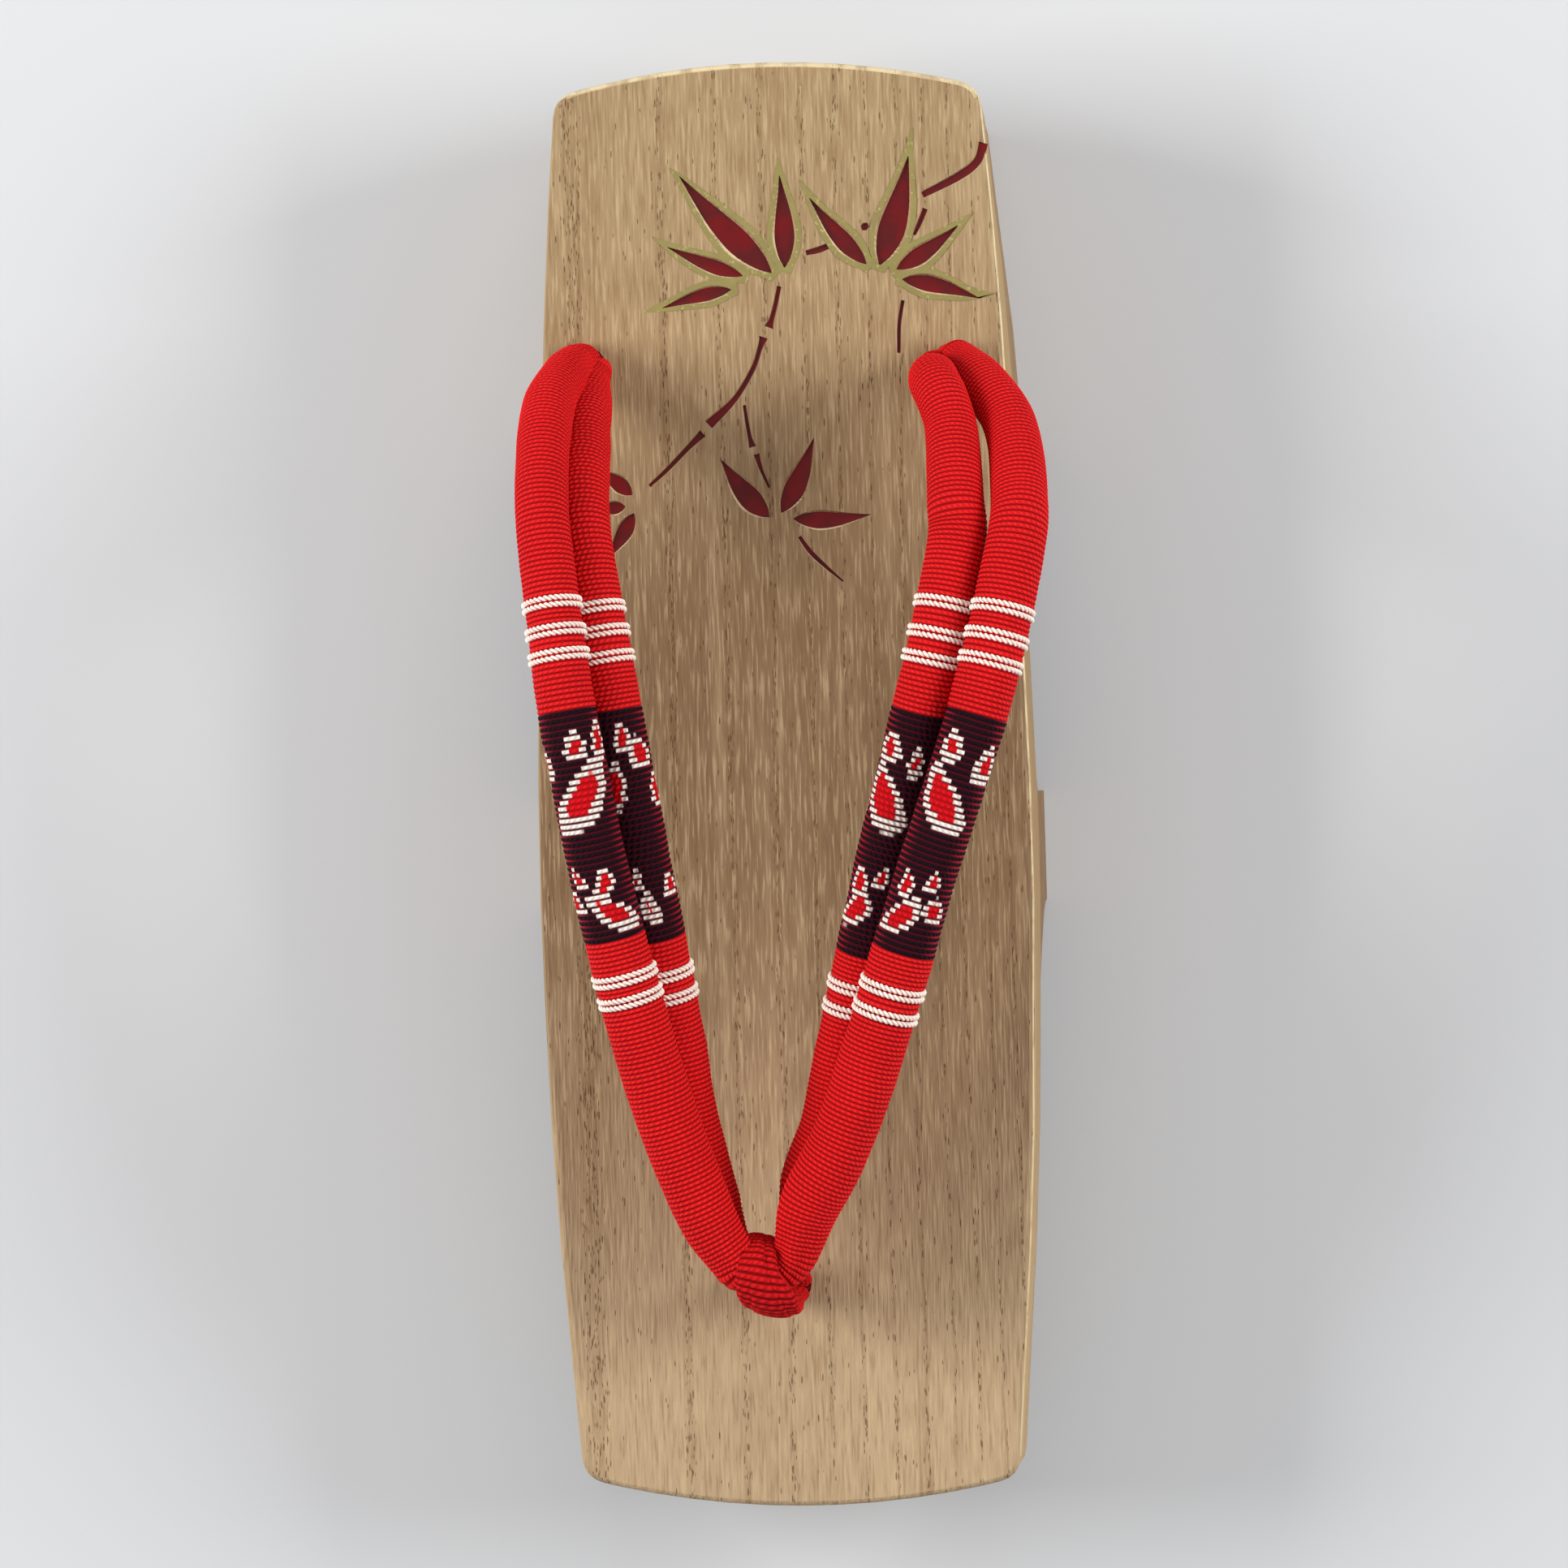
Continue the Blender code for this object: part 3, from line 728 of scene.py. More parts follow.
@dataclass(frozen=True)
class CordFinish(Finish):
    """Spun cotton cord in one colour, painted lighter on its strands as highlight and darker between them
    as shade.
    """

    # light is the painted highlight on the strands and dark the painted shade between them
    light: Colour
    dark: Colour

    def surface(self, graph: Graph, place: Any, kit: Kit) -> dict[str, Any]:
        """Cord with painted highlight on its strands and painted shade between them.

        Args:
            graph: The material's graph.
            place: The place on the object.
            kit: The shared groups and trees.

        Returns:
            Sockets or plain values, by the shader's input names.
        """
        fuzz = graph.noise(place, 4200.0, 3.0)
        ply = graph.add("ShaderNodeAttribute", attribute_name=PLY_ATTRIBUTE).outputs["Fac"]
        # Random unevenness of the painted strand highlight
        wear_and_highlight = graph.step(fuzz, 0.30, 0.55, 0.7, 1.0)
        lit = graph.math("MULTIPLY", wear_and_highlight, graph.step(ply, 0.05, 0.45))
        tone = graph.drift(kit, place, 400.0, 0.3)
        return {
            "Base Color": graph.shade(graph.mix(lit, self.dark, self.light), tone),
            "Roughness": graph.step(fuzz, 0.2, 0.8, 0.88, 0.70),
            "Normal": graph.bump(fuzz, 0.5, 0.0001),
            "Specular IOR Level": 0.15,
        }


WHITE_CORD = CordFinish("white_cord", srgb(252, 240, 230), srgb(214, 172, 160))
KNOT_CORD = CordFinish("knot_cord", srgb(186, 26, 30), srgb(90, 6, 10))


@dataclass(frozen=True)
class FloorFinish(Finish):
    """Plain pale studio floor."""

    title: str = "studio_floor"
    pale: Colour = srgb(205, 207, 210)

    def surface(self, graph: Graph, place: Any, kit: Kit) -> dict[str, Any]:
        """An even pale tone with hardly any drift."""
        tone = graph.drift(kit, place, 3.0, 0.03)
        return {"Base Color": graph.shade(self.pale, tone), "Roughness": 0.85}


# Meshes and objects


def link(name: str, mesh: bpy.types.Mesh, finish: bpy.types.Material | None = None) -> bpy.types.Object:
    """Put a mesh in the scene as an object at the origin.

    Args:
        name: Name of the object.
        mesh: Its mesh, in place.
        finish: Its material, where it has none yet.

    Returns:
        The object.
    """
    made = bpy.data.objects.new(name, mesh)
    bpy.context.scene.collection.objects.link(made)
    if finish:
        mesh.materials.clear()
        mesh.materials.append(finish)
    return made


def settle(made: bpy.types.Object) -> None:
    """Turn what an object's modifiers make into its plain mesh.

    Args:
        made: The object.
    """
    evaluated = made.evaluated_get(bpy.context.evaluated_depsgraph_get())
    mesh = bpy.data.meshes.new_from_object(evaluated)
    mesh.name = made.name
    made.modifiers.clear()
    made.data = mesh


def grow(made: bpy.types.Object, tree: bpy.types.NodeTree, inputs: dict[str, Any]) -> None:
    """Run a geometry tree on an object and keep the result as its plain mesh.

    Args:
        made: The object.
        tree: The geometry tree.
        inputs: Values by the names of the tree's inputs.
    """
    modifier = made.modifiers.new(tree.name, "NODES")
    modifier.node_group = tree
    for socket in tree.interface.items_tree:
        if socket.in_out == "INPUT" and socket.name in inputs:
            modifier[socket.identifier] = inputs[socket.name]
    settle(made)


def into_mesh(build: bmesh.types.BMesh, mesh: bpy.types.Mesh) -> bpy.types.Mesh:
    """Put what is built into a mesh, with all its faces turned outward.

    Args:
        build: The closed mesh under construction, which is freed.
        mesh: The mesh that takes it.

    Returns:
        The mesh.
    """
    bmesh.ops.recalc_face_normals(build, faces=build.faces)
    build.to_mesh(mesh)
    build.free()
    return mesh


def span(build: bmesh.types.BMesh, rows: Sequence[Sequence[Any]], ring: bool = True) -> None:
    """Span faces between each row of vertices and the next.

    Args:
        build: The mesh under construction.
        rows: Rows of the same number of vertices.
        ring: Whether each row closes on itself.
    """
    for near, far in zip(rows, rows[1:]):
        count = len(near)
        for i in range(count if ring else count - 1):
            j = (i + 1) % count
            build.faces.new((near[i], near[j], far[j], far[i]))


def turned_out(mesh: bpy.types.Mesh) -> bpy.types.Mesh:
    """Turn all the faces of a closed mesh outward.

    Args:
        mesh: The mesh.

    Returns:
        The same mesh.
    """
    build = bmesh.new()
    build.from_mesh(mesh)
    return into_mesh(build, mesh)


def rib_tree() -> bpy.types.NodeTree:
    """Geometry tree that raises a rib on each whole step of a sleeve's rib attribute, with slack."""
    sizes = dict.fromkeys(("Rib height", "Slack", "Slack size", "Seed"), "Float")
    inputs = {"Geometry": "Geometry", **sizes, "Material": "Material"}
    graph, given, result = new_tree("raised_ribs", "GeometryNodeTree", inputs, {"Geometry": "Geometry"})
    named = {"Name": RIB_ATTRIBUTE}
    rib = graph.first("GeometryNodeInputNamedAttribute", named, data_type="FLOAT")
    off = graph.math("ABSOLUTE", graph.math("MULTIPLY_ADD", graph.math("FRACT", rib), 2.0, -1.0))
    crest = graph.math("SUBTRACT", 1.0, graph.math("POWER", off, 2.2))
    place = graph.first("GeometryNodeInputPosition")
    cloud = {"Vector": place, "W": given["Seed"], "Scale": given["Slack size"], "Detail": 1.0}
    cloudy = graph.first("ShaderNodeTexNoise", cloud, noise_dimensions="4D")
    slack = graph.math("MULTIPLY", graph.math("SUBTRACT", cloudy, 0.5), given["Slack"])
    height = graph.math("MULTIPLY_ADD", crest, given["Rib height"], slack)
    offset = graph.times(graph.first("GeometryNodeInputNormal"), height)
    moved = graph.first("GeometryNodeSetPosition", {0: given["Geometry"], "Offset": offset})
    graph.feed(result["Geometry"], graph.dressed(moved, given["Material"]))
    return graph.tree


def rope_tree() -> bpy.types.NodeTree:
    """Geometry tree that lays a twisted cord along the edges of a mesh."""
    sizes = dict.fromkeys(("Cord radius", "Twist length", "Step", "Strand depth"), "Float")
    counts = dict.fromkeys(("Strands", "Sides"), "Int")
    inputs = {"Geometry": "Geometry", **sizes, **counts, "Material": "Material"}
    graph, given, result = new_tree("twisted_cord", "GeometryNodeTree", inputs, {"Geometry": "Geometry"})
    path = graph.first("GeometryNodeMeshToCurve", {0: given["Geometry"]})
    path = graph.first("GeometryNodeResampleCurve", {0: path, "Length": given["Step"]}, mode="LENGTH")
    length = graph.first("GeometryNodeSplineLength")
    turns = graph.math("ROUND", graph.math("DIVIDE", length, given["Twist length"]))
    share = graph.add("GeometryNodeSplineParameter").outputs["Factor"]
    tilt = graph.math("MULTIPLY", graph.math("MULTIPLY", share, turns), math.tau)
    path = graph.first("GeometryNodeSetCurveTilt", {0: path, "Tilt": tilt})
    round_sizes = {"Resolution": given["Sides"], "Radius": 1.0}
    circle = graph.first("GeometryNodeCurvePrimitiveCircle", round_sizes)
    about = graph.add("GeometryNodeSplineParameter").outputs["Factor"]
    strand = graph.math("MULTIPLY", graph.math("MULTIPLY", about, given["Strands"]), math.tau)
    lobes = graph.math("COSINE", strand)
    dip = graph.math("MULTIPLY", graph.math("MULTIPLY_ADD", lobes, -0.5, 0.5), given["Strand depth"])
    reach = graph.math("MULTIPLY", graph.math("SUBTRACT", 1.0, dip), given["Cord radius"])
    height = graph.math("MULTIPLY_ADD", lobes, 0.5, 0.5)
    stored = {"Geometry": circle, "Name": PLY_ATTRIBUTE, "Value": height}
    circle = graph.first("GeometryNodeStoreNamedAttribute", stored, data_type="FLOAT")
    spot = graph.times(graph.first("GeometryNodeInputPosition"), reach)
    profile = graph.first("GeometryNodeSetPosition", {0: circle, "Position": spot})
    drawn = {"Curve": path, "Profile Curve": profile, "Fill Caps": True}
    tube = graph.first("GeometryNodeCurveToMesh", drawn)
    graph.feed(result["Geometry"], graph.dressed(tube, given["Material"]))
    return graph.tree


@dataclass
class Kit:
    """The shader groups and geometry trees that several pieces share, each built once."""

    spun_rib: bpy.types.NodeTree = field(default_factory=spun_rib_group)
    woven_drop: bpy.types.NodeTree = field(default_factory=woven_drop_group)
    drift: bpy.types.NodeTree = field(default_factory=drift_group)
    ribs: bpy.types.NodeTree = field(default_factory=rib_tree)
    rope: bpy.types.NodeTree = field(default_factory=rope_tree)


@dataclass(frozen=True)
class Rope:
    """Sizes of a twisted cord.

    Attributes:
        radius: Its radius, in metres.
        twist: Length of one full twist.
        step: Length of each step along it.
        strands: Number of its strands.
        depth: Depth between them, as a share of its radius.
        sides: Points round it.
    """

    radius: float
    twist: float
    step: float
    strands: int
    depth: float
    sides: int

    def lay(
        self,
        name: str,
        paths: Iterable[Sequence[Vector]],
        closed: bool,
        kit: Kit,
        finish: bpy.types.Material,
    ) -> bpy.types.Object:
        """Lay the cord along each of some paths, as one object.

        Args:
            name: Name of the object.
            paths: Points of each path.
            closed: Whether each path is a ring.
            kit: The shared groups and trees.
            finish: The cord's material.

        Returns:
            The object, with a plain mesh.
        """
        points: list[Vector] = []
        edges: list[tuple[int, int]] = []
        for path in paths:
            first = len(points)
            points.extend(path)
            edges.extend((first + i, first + i + 1) for i in range(len(path) - 1))
            if closed:
                edges.append((len(points) - 1, first))
        mesh = bpy.data.meshes.new(name)
        mesh.from_pydata([tuple(point) for point in points], edges, [])
        made = link(name, mesh)
        inputs = {
            "Cord radius": self.radius,
            "Twist length": self.twist,
            "Step": self.step,
            "Strands": self.strands,
            "Strand depth": self.depth,
            "Sides": self.sides,
            "Material": finish,
        }
        grow(made, kit.rope, inputs)
        turned_out(made.data)
        return made


WHITE_ROPE = Rope(0.00050, 0.0018, 0.000225, 2, 0.36, 10)
KNOT_ROPE = Rope(0.00125, 0.0075, 0.0004375, 3, 0.30, 18)


def read_rows(rows: Sequence[Sequence[float]], share: float) -> tuple[float, ...]:
    """Read a table of rows at a share in its first column, along a smooth curve through them.

    Args:
        rows: The table, with rising first column.
        share: Where to read it.

    Returns:
        The other columns' values.
    """
    share = min(max(share, rows[0][0]), rows[-1][0])
    after = max(1, next(i for i, row in enumerate(rows) if row[0] >= share))
    left, right = rows[after - 1], rows[after]
    span = right[0] - left[0]
    t = (share - left[0]) / span

    def slope(index: int, column: int) -> float:
        """Slope of a column at a row, by the row's neighbours."""
        low, high = rows[max(index - 1, 0)], rows[min(index + 1, len(rows) - 1)]
        return (high[column] - low[column]) / (high[0] - low[0])

    return tuple(
        (2 * t**3 - 3 * t**2 + 1) * left[column]
        + (t**3 - 2 * t**2 + t) * slope(after - 1, column) * span
        + (3 * t**2 - 2 * t**3) * right[column]
        + (t**3 - t**2) * slope(after, column) * span
        for column in range(1, len(left))
    )


@dataclass
class Sleeve:
    """A closed tube of cloth along a path, with an oval section and a rib number at each station.

    Attributes:
        centres: The path's points, one row each.
        tops: Direction of each section's top.
        sides: Direction of each section's side.
        half_tops: Half height of each section, from its centre to its top.
        half_sides: Half width of each section.
        ribs: Rib number at each station.
        points_round: Points round each section.
    """

    centres: np.ndarray
    tops: np.ndarray
    sides: np.ndarray
    half_tops: np.ndarray
    half_sides: np.ndarray
    ribs: np.ndarray
    points_round: int = 36

    @property
    def girth(self) -> float:
        """Its usual length round, in millimetres."""
        return math.tau * float(np.median(self.half_sides)) / MM

    def ring(self, index: int, proud: float = 0.0) -> np.ndarray:
        """Points of one section, from its underside round.

        Args:
            index: Number of the section.
            proud: How far the points are set out.

        Returns:
            The points, one row each.
        """
        angle = np.linspace(-math.pi, math.pi, self.points_round, endpoint=False)[:, None]
        up = self.tops[index] * (self.half_tops[index] + proud) * np.cos(angle)
        across = self.sides[index] * (self.half_sides[index] + proud) * np.sin(angle)
        return self.centres[index] + up + across

    def mesh(self, name: str, dents: Sequence[Dent] = ()) -> bpy.types.Mesh:
        """Build the tube, closed at both ends, with its weave map and rib attribute.

        Args:
            name: Name of the mesh.
            dents: Creases pressed into it.

        Returns:
            The mesh.
        """
        rounds = self.points_round
        count = len(self.centres)
        angles = np.linspace(-math.pi, math.pi, rounds, endpoint=False)
        points = np.array([self.ring(index) for index in range(count)])
        for dent in dents:
            depth = dent.depths(self.ribs, angles)[:, :, None]
            outward = points - self.centres[:, None, :]
            points = points - outward / np.linalg.norm(outward, axis=2, keepdims=True) * depth
        vertices = [tuple(point) for point in points.reshape(-1, 3)]
        ends = [len(vertices), len(vertices) + 1]
        vertices += [tuple(self.centres[0]), tuple(self.centres[-1])]
        faces, weave = [], []
        for k in range(count - 1):
            for j in range(rounds):
                near, far = k * rounds, (k + 1) * rounds
                following = (j + 1) % rounds
                faces.append((near + j, near + following, far + following, far + j))
                left, right = j / rounds, (j + 1) / rounds
                weave += [(left, self.ribs[k]), (right, self.ribs[k])]
                weave += [(right, self.ribs[k + 1]), (left, self.ribs[k + 1])]
        for end, k in zip(ends, (0, count - 1)):
            for j in range(rounds):
                faces.append((end, k * rounds + j, k * rounds + (j + 1) % rounds))
                weave += [(j / rounds, self.ribs[k])] * 3
        mesh = bpy.data.meshes.new(name)
        mesh.from_pydata(vertices, [], faces)
        weave_map = mesh.uv_layers.new(name=WEAVE_MAP)
        weave_map.data.foreach_set("uv", np.array(weave, np.float32).ravel())
        ribs = mesh.attributes.new(RIB_ATTRIBUTE, "FLOAT", "POINT")
        values = np.append(np.repeat(self.ribs, rounds), [self.ribs[0], self.ribs[-1]])
        ribs.data.foreach_set("value", values.astype(np.float32))
        return turned_out(mesh)


def unit(vectors: np.ndarray) -> np.ndarray:
    """Vectors scaled to length 1."""
    return vectors / np.linalg.norm(vectors, axis=1, keepdims=True)


def lengths_along(points: np.ndarray) -> np.ndarray:
    """Length from the first of some points to each of them."""
    return np.append(0.0, np.cumsum(np.linalg.norm(np.diff(points, axis=0), axis=1)))


@dataclass(frozen=True)
class Dent:
    """A crease along a sleeve, over a stretch of its ribs.

    Attributes:
        around: Place round the section in degrees from its top, toward its side direction.
        width: Half its width in degrees.
        first: Rib where it is deepest.
        reach: How many ribs it takes to fade out on each side.
        depth: Its depth in metres.
        drift: Degrees that it wanders for each rib.
    """

    around: float
    width: float
    first: float
    reach: float
    depth: float
    drift: float = 0.0

    def depths(self, ribs: np.ndarray, angles: np.ndarray) -> np.ndarray:
        """Depth of the crease at each station and angle.

        Args:
            ribs: Rib numbers of the stations.
            angles: Angles round the section, in radians.

        Returns:
            Depths, a row for each station.
        """
        along = np.exp(-(((ribs - self.first) / self.reach) ** 2))
        middle = np.radians(self.around + self.drift * (ribs - self.first))
        off = angles[None, :] - middle[:, None]
        off = (off + math.pi) % math.tau - math.pi
        return self.depth * along[:, None] * np.exp(-((off / math.radians(self.width)) ** 2))


@dataclass(frozen=True)
class Weave:
    """How a cloth lies over its stuffing.

    Attributes:
        cloth: Its finish.
        pitch: Length of each of its ribs along the sleeve.
        rib_height: How far each rib stands out.
        slack: Greatest unevenness of the cloth.
        slack_size: How closely its uneven places follow each other.
        sunk: How far the sleeve is set in under the ribs, as a share of their height.
        rings_per_rib: Sections laid for each rib.
    """

    cloth: ClothFinish
    pitch: float
    rib_height: float
    slack: float
    slack_size: float
    sunk: float = 0.6
    rings_per_rib: int = 5

    def cover(
        self,
        name: str,
        sleeve: Sleeve,
        dents: Sequence[Dent],
        seed: float,
        kit: Kit,
        band: Band | None = None,
    ) -> bpy.types.Object:
        """Build a sleeve with its ribs and its cloth.

        Args:
            name: Name of the piece.
            sleeve: The sleeve.
            dents: Creases pressed into it.
            seed: Number that sets where the cloth has slack.
            kit: The shared groups and trees.
            band: The dark band woven into it, if there is one.

        Returns:
            The piece.
        """
        cloth = replace(self.cloth, title=name + "_cloth", circumference=sleeve.girth, band=band)
        made = link(name, sleeve.mesh(name, dents))
        inputs = {
            "Rib height": self.rib_height,
            "Slack": self.slack,
            "Slack size": self.slack_size,
            "Seed": seed,
            "Material": cloth.material(kit),
        }
        grow(made, kit.ribs, inputs)
        return made


STRAP_WEAVE = Weave(STRAP_CLOTH, 0.00082, 0.00021, 0.0007, 95.0)
THONG_WEAVE = Weave(THONG_CLOTH, 0.00095, 0.00022, 0.0006, 160.0)


# Board with its carving


@dataclass(frozen=True)
class Blade:
    """One carved leaf or stem, as a centreline with half widths, in millimetres.

    Attributes:
        points: The centreline's points, as (x, y).
        widths: Half width at each of them.
        gold_tip: Tip of the gold outline, where the leaf has one.
    """

    points: tuple[Point, ...]
    widths: tuple[float, ...]
    gold_tip: Point | None = None

    def stations(self, steps: int) -> list[tuple[float, Vector, Vector, float]]:
        """Places along the blade.

        Args:
            steps: Number of steps between its ends.

        Returns:
            The share of its length, the centre, the direction across and the half width of each
            station, in metres.
        """
        last = len(self.points) - 1
        rows = [
            (index / last, x * MM, y * MM, width * MM)
            for index, ((x, y), width) in enumerate(zip(self.points, self.widths))
        ]
        values = [read_rows(rows, step / steps) for step in range(steps + 1)]
        found = []
        for index, (x, y, width) in enumerate(values):
            before, after = values[max(index - 1, 0)], values[min(index + 1, steps)]
            along = Vector((after[0] - before[0], after[1] - before[1], 0)).normalized()
            across = Vector((-along.y, along.x, 0))
            found.append((index / steps, Vector((x, y, 0)), across, max(width, FINEST)))
        return found

    def outline(self, steps: int, share: float = 1.0) -> list[Vector]:
        """The blade's outline, up one side and back down the other.

        Args:
            steps: Number of steps between its ends.
            share: Share of its width that is taken.

        Returns:
            The outline's points, in metres.
        """
        stations = self.stations(steps)
        left = [centre + across * width * share for _, centre, across, width in stations]
        right = [centre - across * width * share for _, centre, across, width in stations]
        return left + right[::-1]


# The finest half width of a blade, and the widths of a leaf along its length
FINEST = 0.04 * MM
LEAF_SHARES = (0.0, 0.22, 0.45, 0.68, 0.88, 1.0)
LEAF_WIDTHS = (0.02, 0.42, 0.82, 1.0, 0.62, 0.05)


def leaf(
    tip: Point, base: Point, width: float, gold_tip: Point | None = None, bow: float = 0.0
) -> Blade:
    """A pointed leaf.

    Args:
        tip: Its tip, in millimetres.
        base: Where it leaves its twig.
        width: Its greatest width.
        gold_tip: Tip of its gold outline, where it has one.
        bow: How far its middle bows sideways.

    Returns:
        The leaf.
    """
    run = Vector(base) - Vector(tip)
    sideways = Vector((-run.y, run.x)).normalized()
    points = []
    for share in LEAF_SHARES:
        point = Vector(tip) + run * share + sideways * bow * math.sin(math.pi * share)
        points.append((point.x, point.y))
    return Blade(tuple(points), tuple(width / 2 * share for share in LEAF_WIDTHS), gold_tip)


# Bamboo carved in the deck, in millimetres from the middle of the board: leaves and their stems
GILDED_LEAVES = (
    leaf((-14.8, 101.4), (0.1, 85.0), 5.1, (-16.5, 102.9), -0.6),
    leaf((1.8, 101.1), (2.3, 85.8), 4.0, (1.6, 104.2), 0.3),
    leaf((-17.1, 89.7), (-4.7, 84.6), 2.8, (-19.6, 91.5), -0.3),
    leaf((-18.2, 79.6), (-6.7, 82.4), 2.6, (-21.4, 79.1), 0.3),
    leaf((6.7, 97.2), (15.9, 86.0), 3.5, (5.2, 100.3), -0.4),
    leaf((23.3, 103.7), (18.1, 85.8), 5.4, (24.1, 108.4), 0.5),
    leaf((31.3, 92.0), (20.9, 85.0), 3.4, (33.9, 94.1), 0.4),
    leaf((34.5, 79.8), (21.8, 83.3), 3.2, (37.2, 80.6), -0.4),
)
PLAIN_LEAVES = (
    leaf((-29.8, 53.0), (-24.0, 48.7), 3.1, None, 0.2),
    leaf((-30.5, 46.2), (-25.2, 46.8), 2.5),
    leaf((-28.5, 38.1), (-23.8, 45.6), 3.1, None, -0.2),
    leaf((-9.1, 54.1), (-1.3, 44.4), 4.4, None, -0.5),
    leaf((6.4, 57.3), (0.7, 45.1), 4.1, None, 0.5),
    leaf((15.5, 44.4), (2.7, 44.0), 3.4, None, 0.5),
)
STEMS = (
    Blade(((35.8, 105.6), (34.7, 102.5), (31.5, 100.1), (25.5, 97.2)), (0.82, 0.80, 0.80, 0.60)),
    Blade(((25.9, 94.9), (24.9, 92.6), (23.9, 90.6)), (0.50, 0.48, 0.30)),
    Blade(((15.2, 92.0), (15.8, 92.2), (16.4, 92.5)), (0.45, 0.72, 0.40)),
    Blade(((9.6, 89.1), (7.8, 88.5), (5.9, 88.1)), (0.55, 0.60, 0.45)),
    Blade(((21.8, 79.8), (21.1, 75.9), (20.9, 71.1)), (0.34, 0.40, 0.34)),
    Blade(((1.3, 82.7), (0.6, 79.6), (-0.1, 77.2), (-0.6, 75.9)), (0.42, 0.48, 0.54, 0.92)),
    Blade(
        ((-1.5, 74.3), (-2.2, 72.4), (-3.4, 69.1), (-6.6, 64.1), (-11.0, 60.0)),
        (0.84, 0.50, 0.50, 0.54, 0.95),
    ),
    Blade(((-12.0, 58.6), (-14.6, 56.2), (-18.0, 52.8), (-21.1, 50.1)), (0.76, 0.48, 0.42, 0.30)),
    Blade(((-5.0, 63.1), (-4.6, 60.0), (-4.2, 57.6), (-3.8, 56.1)), (0.30, 0.38, 0.42, 0.70)),
    Blade(((-3.2, 54.9), (-2.4, 52.2), (-1.2, 49.3)), (0.58, 0.34, 0.24)),
    Blade(((3.6, 41.0), (5.4, 38.4), (8.0, 35.8), (10.7, 33.4)), (0.34, 0.46, 0.36, 0.14)),
)


